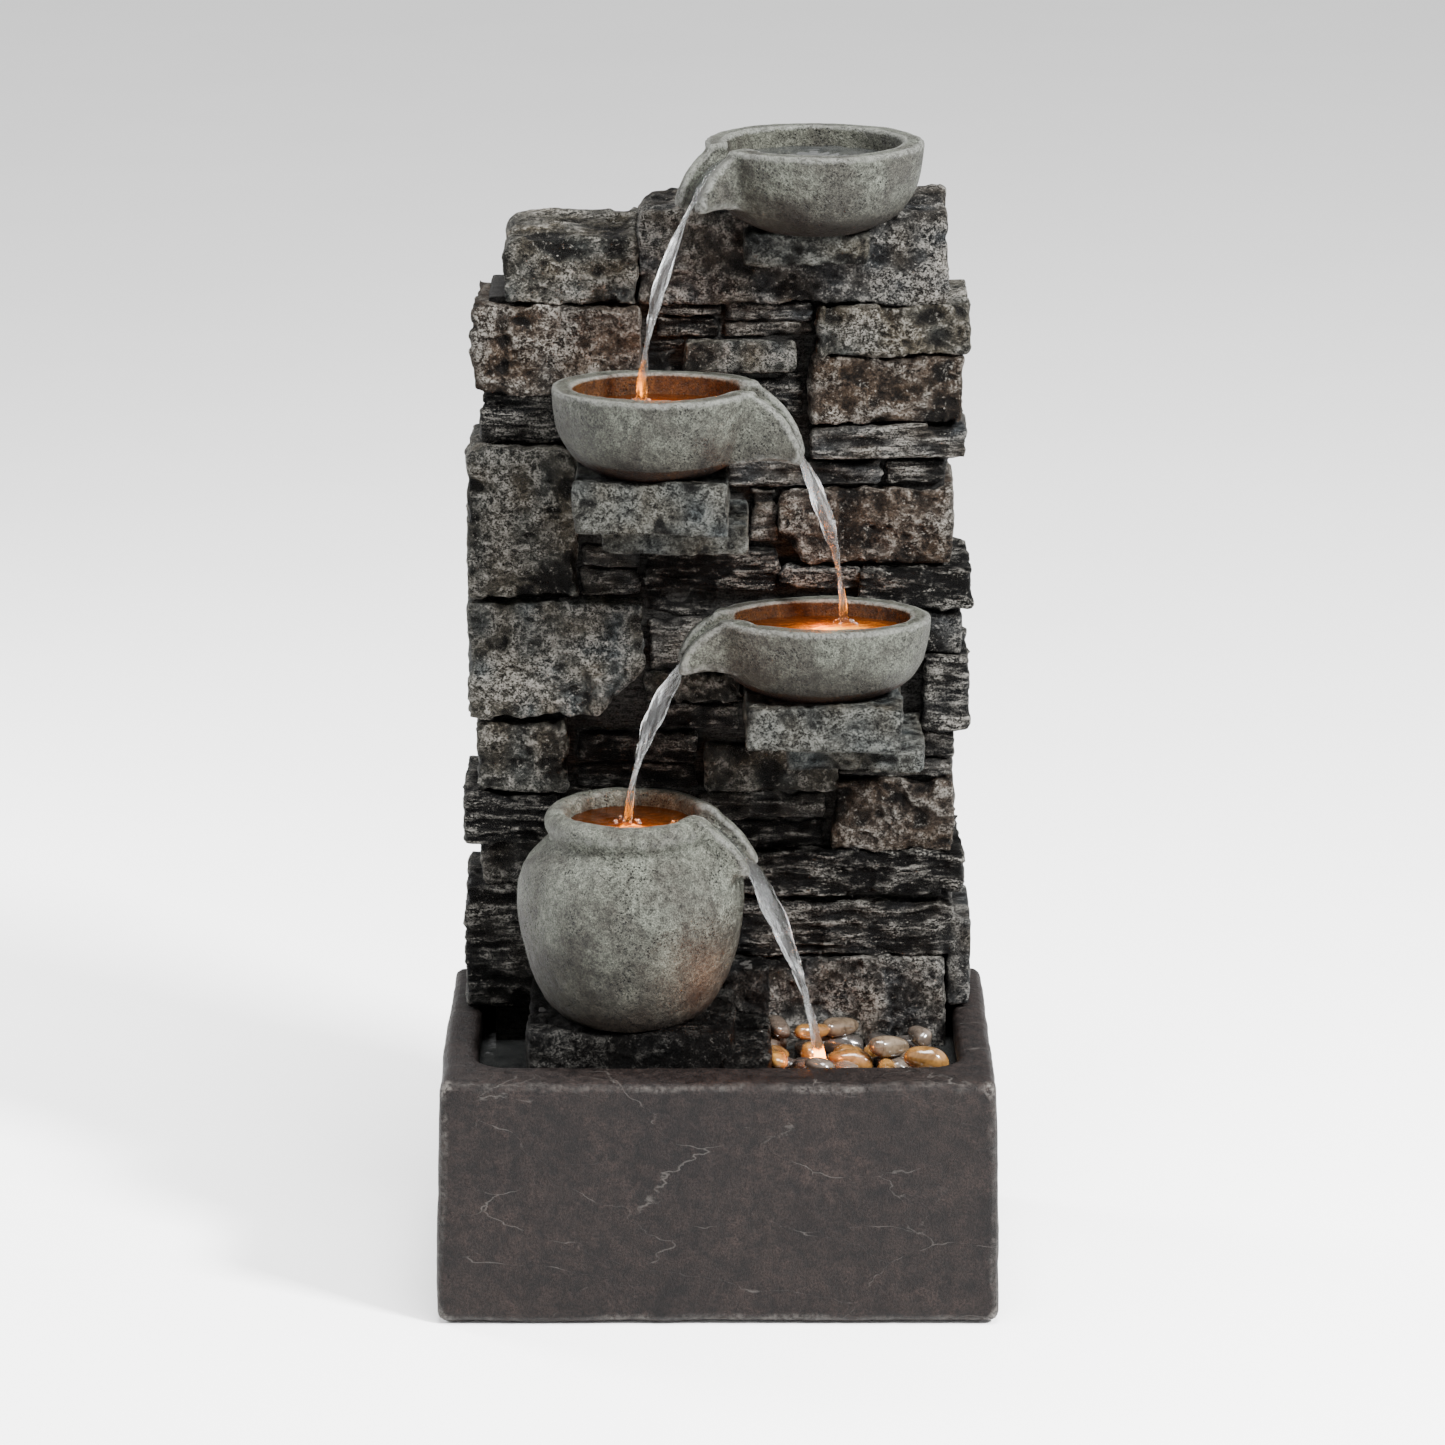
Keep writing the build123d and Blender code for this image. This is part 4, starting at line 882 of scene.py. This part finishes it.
def pot_shape(p):
    x, y, foot, rim = POT
    rho = np.hypot(p[:, 0] - x, p[:, 1] - y)
    z = p[:, 2] - foot
    top = rim - foot
    slope = np.clip(1 + 0.5 * np.abs(z - 90) / 60, 1, 1.45)
    outer = (rho - smooth_curve(np.clip(z, 0, 134), POT_OUTER_Z, POT_OUTER_R)) / slope
    outer = smooth_max(outer, np.maximum(-z, z - 137), 4.0)
    roll = np.hypot((rho - 52.5) / 1.0, z - (top - 9.2)) - 9.4
    collar = np.maximum(np.maximum(rho - 57, z - (top - 6)), 128 - z)
    outer = smooth_min(smooth_min(outer, collar, 3.0), roll, 3.0)
    heading, reach, drop = POT_SPOUT
    body, channel = spout_distances(
        p, x, y, rim, heading, POT_SPOUT_START, reach, drop, POT_SLOPE, thickness=16.0
    )
    body = np.maximum(body, 46 - rho)
    solid = smooth_min(outer, body, 7.0)
    inner = (rho - smooth_curve(np.clip(z, 10, 138), POT_INNER_Z, POT_INNER_R)) / slope
    inner = np.maximum(smooth_max(inner, 10 - z, 5.0), z - 200)
    return smooth_max(solid, -smooth_min(inner, channel, 4.0), 3.0)


def build_pot(material):
    *_, foot, rim = POT
    low, high = (np.array(c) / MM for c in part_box("pot"))
    vertices, faces = solid_net(pot_shape, cast_detail(57, 0.6), low - 2, high + 2, 1.8, band=5.0)
    worn = curvature(vertices, faces) * 6.0
    tint, relief = concrete_paint_and_shade(vertices, rim, foot, worn, 1.25)
    place(mesh_object("pot_cast", vertices, faces, tint, relief), material, "pot_concrete", "pot")


# --- trough ---
def build_basin(material):
    low, high = (np.array(c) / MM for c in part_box("basin_shell"))
    mouth = np.array((172.0, low[1] + 42, high[1] - 8))
    flare = 4.0

    def shape(p):
        q = p.copy()
        t = np.clip((p[:, 2] - low[2]) / (high[2] - low[2]), 0, 1)
        q[:, 0] *= high[0] / (high[0] - flare * t)
        push = np.stack([noise(p, 90, 91), noise(p, 90, 92), noise(p, 70, 93)], 1)
        q = q + push * np.array([1.0, 0.9, 0.7])
        outer = box_distance(q, low, high, 7.0)
        hollow = box_distance(p, (low[0] + 16, low[1] + 12, 14), (high[0] - 16, mouth[2], 164), 4.0)
        opening = box_distance(p, (-mouth[0], mouth[1], 120), (mouth[0], mouth[2], 400), 26.0)
        return smooth_max(outer, -np.minimum(hollow, opening), 6.0)

    def detail(p):
        return fractal(p, 26, 3, 95) * 0.8 + fractal(p, 8, 2, 98) * 0.35 - 0.2

    vertices, faces = solid_net(shape, detail, low, high, 2.5, band=4.0)
    worn = curvature(vertices, faces) * 4.6
    front = np.clip(1 - (vertices[:, 1] - low[1]) / 60, 0.25, 1)
    t = np.clip((vertices[:, 2] - 150) / 40, 0, 1)[:, None]
    tint = np.array([0.0056, 0.0040, 0.0036]) * (1 - 0.1 * t)
    piece = mesh_object("basin_cast", vertices, faces, tint, np.clip(worn * front, 0, 1))
    place(piece, material, "basin", "basin_shell")


# --- pebbles ---
PEBBLE_TINTS = (
    (0.050, 0.040, 0.033),
    (0.110, 0.055, 0.016),
    (0.024, 0.022, 0.021),
    (0.180, 0.090, 0.024),
    (0.070, 0.052, 0.036),
)


def build_pebbles(material):
    draw = np.random.RandomState(4)
    pebbles = []
    for order, (low, high) in enumerate(loose_boxes("pebbles")):
        size = 0.88 + 0.24 * draw.rand()
        long = 1.0 + 0.42 * draw.rand()
        half = (high - low) / 2 * size * (long, 1 / long**0.6, 0.92 + 0.2 * draw.rand())
        centre = (low + high) / 2 + (5 * draw.rand(3) - 2.5) * (1, 1, 0.8)
        turn = math.pi * draw.rand()
        c, s = math.cos(turn), math.sin(turn)

        def shape(p):
            q = p - centre
            turned = (q[:, 0] * c + q[:, 1] * s, q[:, 1] * c - q[:, 0] * s, q[:, 2] + 0.12 * q[:, 0])
            q = np.stack(turned, 1) / half
            egg = q * (1 + 0.16 * q[:, :1] * (0, 1, 1))
            return ((np.abs(egg) ** 2.3).sum(1) ** (1 / 2.3) - 1) * half.min()

        def detail(p):
            return noise(p, 11, order * 3) * 0.9 + noise(p, 5, order * 3 + 1) * 0.25 + 0.3

        reach = np.array((half.max(), half.max(), half.max() * 0.75))
        vertices, faces = solid_net(shape, detail, centre - reach, centre + reach, 1.4)
        mottle = 1 + 0.25 * noise(vertices, 8, order)[:, None]
        tint = np.array(PEBBLE_TINTS[draw.randint(len(PEBBLE_TINTS))]) * mottle
        pebbles.append((vertices, faces, tint, 0.5))
    place(mesh_object("pebbles_wet", *join(pebbles)), material, "pebble", "pebbles", body="grate")


# --- water ---
WHITE = (1, 1, 1)


def ring_quads(rings, turns):
    """Quads between rings of turns points each."""
    i, j = np.meshgrid(np.arange(rings - 1), np.arange(turns), indexing="ij")
    k = (j + 1) % turns
    corners = [i * turns + j, (i + 1) * turns + j, (i + 1) * turns + k, i * turns + k]
    return np.stack(corners, -1).reshape(-1, 4)


def end_caps(rings, turns, flip_first):
    """Quads that close the first ring and the last."""
    caps = []
    for row, flip in ((0, flip_first), (rings - 1, not flip_first)):
        for m in range(1, turns // 2):
            cap = [row * turns + q for q in (m - 1, m, turns - m - 1, turns - m)]
            caps.append(cap[::-1] if flip else cap)
    return np.array(caps)


def disc(x, y, z, a, b, hot, ripple=0.5):
    """A rippled pool surface, closed below. hot is where it glows most: x, y and reach."""
    rings, turns = 26, 96
    angles = np.arange(turns) * 2 * math.pi / turns
    r, turn = np.meshgrid(np.linspace(0.02, 1, rings), angles, indexing="ij")
    px, py = x + a * r * np.cos(turn), y + b * r * np.sin(turn)
    away = np.hypot(px - hot[0], py - hot[1])
    pz = z + ripple * np.sin(away * 0.75) * np.exp(-away / 26) + 0.2 * np.sin(px * 0.31 + py * 0.23)
    top = np.stack([px, py, pz], -1).reshape(-1, 3)
    under = np.stack([px, py, np.full_like(px, z - 2.0)], -1).reshape(-1, 3)
    quad = ring_quads(rings, turns)
    n = len(top)
    rim = np.arange(turns)
    outer = (rings - 1) * turns + rim
    outer_next = (rings - 1) * turns + (rim + 1) % turns
    side = np.stack([outer, outer + n, outer_next + n, outer_next], -1)
    inner, inner_next = rim, (rim + 1) % turns
    plug = np.stack([inner_next, inner_next + n, inner + n, inner], -1)
    faces = np.concatenate([quad, quad[:, ::-1] + n, side, plug])
    vertices = np.concatenate([top, under])
    away = np.hypot(vertices[:, 0] - hot[0], (vertices[:, 1] - hot[1]) * 1.5)
    heat = np.exp(-((away / hot[2]) ** 2))
    return vertices, faces, WHITE, heat


def smooth_route(points):
    """Many points along one smooth curve that points guide."""
    curve = bpy.data.curves.new("route", "CURVE")
    curve.dimensions = "3D"
    spline = curve.splines.new("NURBS")
    spline.points.add(len(points) - 1)
    for target, point in zip(spline.points, points):
        target.co = (*point, 1)
    spline.order_u = 4
    spline.use_endpoint_u = True
    spline.resolution_u = 24
    holder = bpy.data.objects.new("route", curve)
    bpy.context.scene.collection.objects.link(holder)
    mesh = bpy.data.meshes.new_from_object(holder)
    route = np.array([v.co for v in mesh.vertices])
    bpy.data.objects.remove(holder)
    bpy.data.meshes.remove(mesh)
    bpy.data.curves.remove(curve)
    return route


STREAM_WIDTHS = (15, 16, 15, 11, 9, 7.5, 6.5)
STREAM_DEPTHS = (1.6, 1.6, 2.6, 3.4, 3.6, 3.8, 4.4)
STREAM_TWIST = 2.2


def stream(points, seed):
    """A falling ribbon of water through points, its flat section turning as it falls."""
    turns, steps = 20, 90
    route = smooth_route(points)
    gone = np.concatenate([[0], np.cumsum(np.linalg.norm(np.diff(route, axis=0), axis=1))])
    t = np.linspace(0, 1, steps)
    line = np.stack([np.interp(t * gone[-1], gone, route[:, k]) for k in range(3)], 1)
    ahead = np.gradient(line, axis=0)
    ahead /= np.linalg.norm(ahead, axis=1, keepdims=True)
    side = np.cross(ahead, np.cross(line[-1] - line[0], (0.0, 0.0, 1.0)))
    side = np.cross(ahead, side)
    side /= np.maximum(np.linalg.norm(side, axis=1, keepdims=True), 1e-9)
    other = np.cross(ahead, side)
    width = np.interp(t, np.linspace(0, 1, len(STREAM_WIDTHS)), STREAM_WIDTHS) / 2
    depth = np.interp(t, np.linspace(0, 1, len(STREAM_DEPTHS)), STREAM_DEPTHS) / 2
    angle = STREAM_TWIST * math.pi * np.clip(t - 0.25, 0, 1) ** 1.2
    vertices = []
    for turn in np.arange(turns) * 2 * math.pi / turns:
        strand = 1 + 0.28 * np.sin(2 * turn + t * 9 + seed) + 0.16 * np.sin(5 * turn - t * 31 + seed)
        a, b = width * math.cos(turn) * strand, depth * math.sin(turn) * strand
        ca, sa = np.cos(angle), np.sin(angle)
        vertices.append(line + side * (a * ca - b * sa)[:, None] + other * (a * sa + b * ca)[:, None])
    vertices = np.stack(vertices, 1).reshape(-1, 3)
    faces = ring_quads(steps, turns)[:, [0, 3, 2, 1]]
    return vertices, np.concatenate([faces, end_caps(steps, turns, False)]), WHITE, 0.5


BUBBLE_COUNT, BUBBLE_RADIUS = 14, 1.2


def bubbles(x, y, z, spread, seed):
    """Small half-sunk bubbles round the place where a stream lands."""
    draw = np.random.RandomState(seed)
    balls = []
    for _ in range(BUBBLE_COUNT):
        radius = BUBBLE_RADIUS * (0.45 + 0.75 * draw.rand())
        reach, turn = spread * math.sqrt(draw.rand()), draw.rand() * 2 * math.pi
        centre = np.array((x + reach * math.cos(turn), y + 0.8 * reach * math.sin(turn), z + 0.2 * radius))
        balls.append(ball(centre, radius))
    return join(balls)


def ball(centre, radius):
    rings, turns = 6, 10
    angles = np.arange(turns) * 2 * math.pi / turns
    lat, lon = np.meshgrid(np.linspace(0.12, math.pi - 0.12, rings), angles, indexing="ij")
    points = np.stack([np.sin(lat) * np.cos(lon), np.sin(lat) * np.sin(lon), np.cos(lat)], -1)
    faces = np.concatenate([ring_quads(rings, turns), end_caps(rings, turns, True)])
    return centre + points.reshape(-1, 3) * radius, faces, WHITE, 0.5


def channel_points(x, y, rim, heading, start, reach, drop, slope):
    """Points along the bottom of a spout's channel, from the bowl to just past the lip."""
    h = math.radians(heading)
    rx, rz = reach - start - 6.0, drop - 6.0
    points = []
    for s, w in ((-18, -9.5), (0, -7.0), (0.40, None), (0.72, None), (0.93, None)):
        if w is None:
            s, w = rx * s, rz * (1 - s**slope) ** (1 / slope) - drop
        points.append((x + (start + s) * math.cos(h), y + (start + s) * math.sin(h), rim + w))
    points.append((x + (reach - 3) * math.cos(h), y + (reach - 3) * math.sin(h), rim - drop + 4))
    return points


LEVELS = {"bowl_top": 808.0, "bowl_left": 645.0, "bowl_right": 482.0, "pot": 344.0, "pool": 153.0}
LANDINGS = {"bowl_left": (-54, -18), "bowl_right": (90, -6), "pot": (-64, -36), "pool": (76, -66)}


def fall(start, land, bulge):
    """Points of a free fall from the lip to the landing: it keeps its push at first, then drops steeply."""
    start, land = np.array(start, float), np.array(land, float)
    points = []
    for t in (0.12, 0.34, 0.6, 0.85, 1.0):
        across = 1 - (1 - t) ** bulge
        points.append((*(start[:2] + (land[:2] - start[:2]) * across), start[2] + (land[2] - start[2]) * t))
    return points


FALLS = (("bowl_top", "bowl_left"), ("bowl_left", "bowl_right"), ("bowl_right", "pot"))


def build_streams(material):
    """The streams, each down its spout's channel and then through the air."""
    for seed, (node, target) in enumerate(FALLS):
        x, y, rim, a, b, _, heading, reach, drop = BOWLS[node]
        start = spout_start(a, b, heading)
        points = channel_points(x, y, rim, heading, start, reach, drop, BOWL_SLOPE)
        points += fall(points[-1], (*LANDINGS[target], LEVELS[target] - 2), 1.9)
        place(mesh_object("stream_into_" + target, *stream(points, seed)), material, None)
    x, y, _, rim = POT
    heading, reach, drop = POT_SPOUT
    points = channel_points(x, y, rim, heading, POT_SPOUT_START, reach, drop, POT_SLOPE)
    points += fall(points[-1], (*LANDINGS["pool"], LEVELS["pool"] - 2), 1.7)
    place(mesh_object("stream_into_pool", *stream(points, 5)), material, None)


def build_water():
    amber, foam, still = glowing_water_material(), foam_material(), still_water_material()
    build_streams(clear_water_material())
    for node in ("bowl_left", "bowl_right"):
        x, y, _, a, b, *_ = BOWLS[node]
        land = LANDINGS[node]
        across, along = (a - BOWL_WALL) * 0.965, (b - BOWL_WALL) * 0.965
        surface = disc(x, y, LEVELS[node], across, along, (land[0] - 4, land[1] - 26, 44))
        place(mesh_object("water_" + node, *surface), amber, None)
        place(mesh_object("bubbles_" + node, *bubbles(*land, LEVELS[node], 12, 3)), foam, None)
    x, y = POT[:2]
    surface = disc(x, y, LEVELS["pot"], 45, 45, (x + 8, y - 34, 44))
    place(mesh_object("water_pot", *surface), amber, None)
    place(mesh_object("bubbles_pot", *bubbles(*LANDINGS["pot"], LEVELS["pot"], 13, 8)), foam, None)
    x, y, _, a, b, *_ = BOWLS["bowl_top"]
    across = (a - BOWL_WALL) * 0.96
    surface = disc(x, y, LEVELS["bowl_top"], across, across, (x, y + 36, 40), ripple=1.0)
    place(mesh_object("water_bowl_top", *surface), still, None)
    build_pool(still)


def build_pool(material):
    """The trough's water: one rippled sheet with a flat underside, under the rim and round the plinth."""
    low, high = (np.array(c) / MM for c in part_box("basin_shell"))
    xs = np.linspace(low[0] + 14, high[0] - 14, 150)
    ys = np.linspace(low[1] + 12, high[1] - 10, 104)
    px, py = np.meshgrid(xs, ys, indexing="ij")
    away = np.hypot(px - LANDINGS["pool"][0], py - LANDINGS["pool"][1])
    flat = np.stack([px, py, np.zeros_like(px)], -1).reshape(-1, 3)
    swell = noise(flat, 30, 3).reshape(px.shape) * 0.5
    pz = LEVELS["pool"] + swell + 0.9 * np.sin(away * 0.55) * np.exp(-away / 40)
    top = np.stack([px, py, pz], -1).reshape(-1, 3)
    under = np.stack([px, py, np.full_like(px, LEVELS["pool"] - 3)], -1).reshape(-1, 3)
    rows, columns = px.shape
    i, j = np.meshgrid(np.arange(rows - 1), np.arange(columns - 1), indexing="ij")
    at = i * columns + j
    quad = np.stack([at, at + columns, at + columns + 1, at + 1], -1).reshape(-1, 4)
    n = len(top)
    grid = np.arange(n).reshape(rows, columns)
    loop = np.concatenate([grid[:-1, 0], grid[-1, :-1], grid[:0:-1, -1], grid[0, :0:-1]])
    following = np.roll(loop, -1)
    side = np.stack([loop, loop + n, following + n, following], -1)
    faces = np.concatenate([quad, quad[:, ::-1] + n, side])
    surface = mesh_object("water_pool", np.concatenate([top, under]), faces, WHITE, np.zeros(2 * n))
    place(surface, material, None)


# --- the parts that keep their CAD shape ---
def finish_cad_nodes():
    black = plastic_material("black_plastic", (0.007, 0.007, 0.0075), 0.55)
    pump = plastic_material("pump_plastic", (0.012, 0.012, 0.013), 0.28, 0.8)
    looks = {
        "mortar": plastic_material("core_casting", (0.018, 0.017, 0.0155), 0.85, 2.2),
        "black_plastic": black,
        "pump_plastic": pump,
        "grey_plastic": plastic_material("grey_plastic", (0.07, 0.07, 0.073), 0.42),
        "led_housing": black,
        "rubber": rubber_material(),
        "lead_pvc": rubber_material("lead_sheath"),
        "screw_steel": steel_material(),
        "tube_vinyl": vinyl_material(),
        "ceramic_shaft": ceramic_material(),
        "led_lens": lens_material(),
    }
    slots = {s["node"]: s["material_slot"] for s in frame["record"]["subparts"]}
    for name, node in frame["nodes"].items():
        if slots[name] in looks and not node.hide_render:
            node.data.materials.clear()
            node.data.materials.append(looks[slots[name]])


# --- camera, floor and light ---
AIM = (0, 0, 0.42)  # metres: the middle of the fountain, which the soft boxes face


def build_studio():
    camera = bpy.data.cameras.new("camera")
    camera.lens = 144.6
    camera.sensor_width = 36
    camera.clip_end = 50
    holder = bpy.data.objects.new("camera", camera)
    holder.location = (0.0035, -4.007, 1.4984)
    holder.rotation_euler = (math.pi / 2 - 0.266, 0, 0)
    bpy.context.scene.collection.objects.link(holder)
    bpy.context.scene.camera = holder

    half = 9000.0
    corners = np.array([(-half, -half, 0), (half, -half, 0), (half, half, 0), (-half, half, 0)])
    floor = mesh_object("floor", corners, np.array([[0, 1, 2, 3]]))
    n = Nodes("floor_paper")
    tone = n.palette(n.noise(300, 3, 0.5), (0.3, (0.93, 0.93, 0.93)), (0.7, (0.95, 0.95, 0.95)))
    floor.data.materials.append(n.finish(tone, 0.95, None))

    world = bpy.data.worlds.new("studio")
    world.use_nodes = True
    background = world.node_tree.nodes["Background"]
    background.inputs["Color"].default_value = (1, 1, 1, 1)
    background.inputs["Strength"].default_value = 0.95
    bpy.context.scene.world = world

    # Soft boxes: place in metres, side in metres and watts.
    for name, place_at, size, power in (
        ("overhead", (0.1, -0.8, 3.4), 1.5, 260),
        ("key_right", (1.9, -1.5, 2.3), 0.5, 500),
        ("edge_left", (-1.7, 0.9, 1.1), 0.6, 60),
    ):
        light = bpy.data.lights.new(name, "AREA")
        light.size = size
        light.energy = power
        lamp = bpy.data.objects.new(name, light)
        lamp.location = place_at
        aim = Vector(AIM) - Vector(place_at)
        lamp.rotation_euler = aim.to_track_quat("-Z", "Y").to_euler()
        bpy.context.scene.collection.objects.link(lamp)


AMBER = (1.0, 0.26, 0.012)


def build_lamps():
    """Warm light: small lamps over each lit surface and two for the patches on the castings."""
    # Place in millimetres, watts and radius.
    for name, at, watts, radius in (
        ("glow_bowl_left", (-43, -24, 653), 0.22, 14),
        ("glow_bowl_right", (74, -16, 489), 0.24, 14),
        ("glow_pot", (-62, -42, 350), 0.16, 12),
        ("glow_pool", (72, -62, 176), 0.20, 8),
        ("glow_pot_side", (8, -108, 240), 0.09, 5),
        ("glow_spout_right", (-4, -104, 474), 0.04, 5),
    ):
        light = bpy.data.lights.new(name, "POINT")
        light.color = AMBER
        light.energy = watts
        light.shadow_soft_size = radius * MM
        lamp = bpy.data.objects.new(name, light)
        lamp.location = [c * MM for c in at]
        bpy.context.scene.collection.objects.link(lamp)


def build():
    build_studio()
    rock_skin = rock_material("rock")
    slab_skin = rock_material("slab_rock", dust=(0.145, 0.148, 0.134), dust_amount=0.72)
    mortar_skin = rock_material("mortar", dust=(0.04, 0.039, 0.036), dust_amount=0.4, depth=0.35)
    wet_skin = rock_material("wet_rock", dust=(0.10, 0.096, 0.088), dust_amount=0.5)
    concrete = concrete_material()
    build_stones(rock_skin)
    build_slabs(slab_skin)
    build_mortar(mortar_skin)
    build_plinths(wet_skin)
    for order, node in enumerate(BOWLS):
        build_bowl(node, concrete, 30 + 7 * order)
    build_pot(concrete)
    build_basin(basin_material())
    build_pebbles(pebble_material())
    build_water()
    build_lamps()
    finish_cad_nodes()


build()
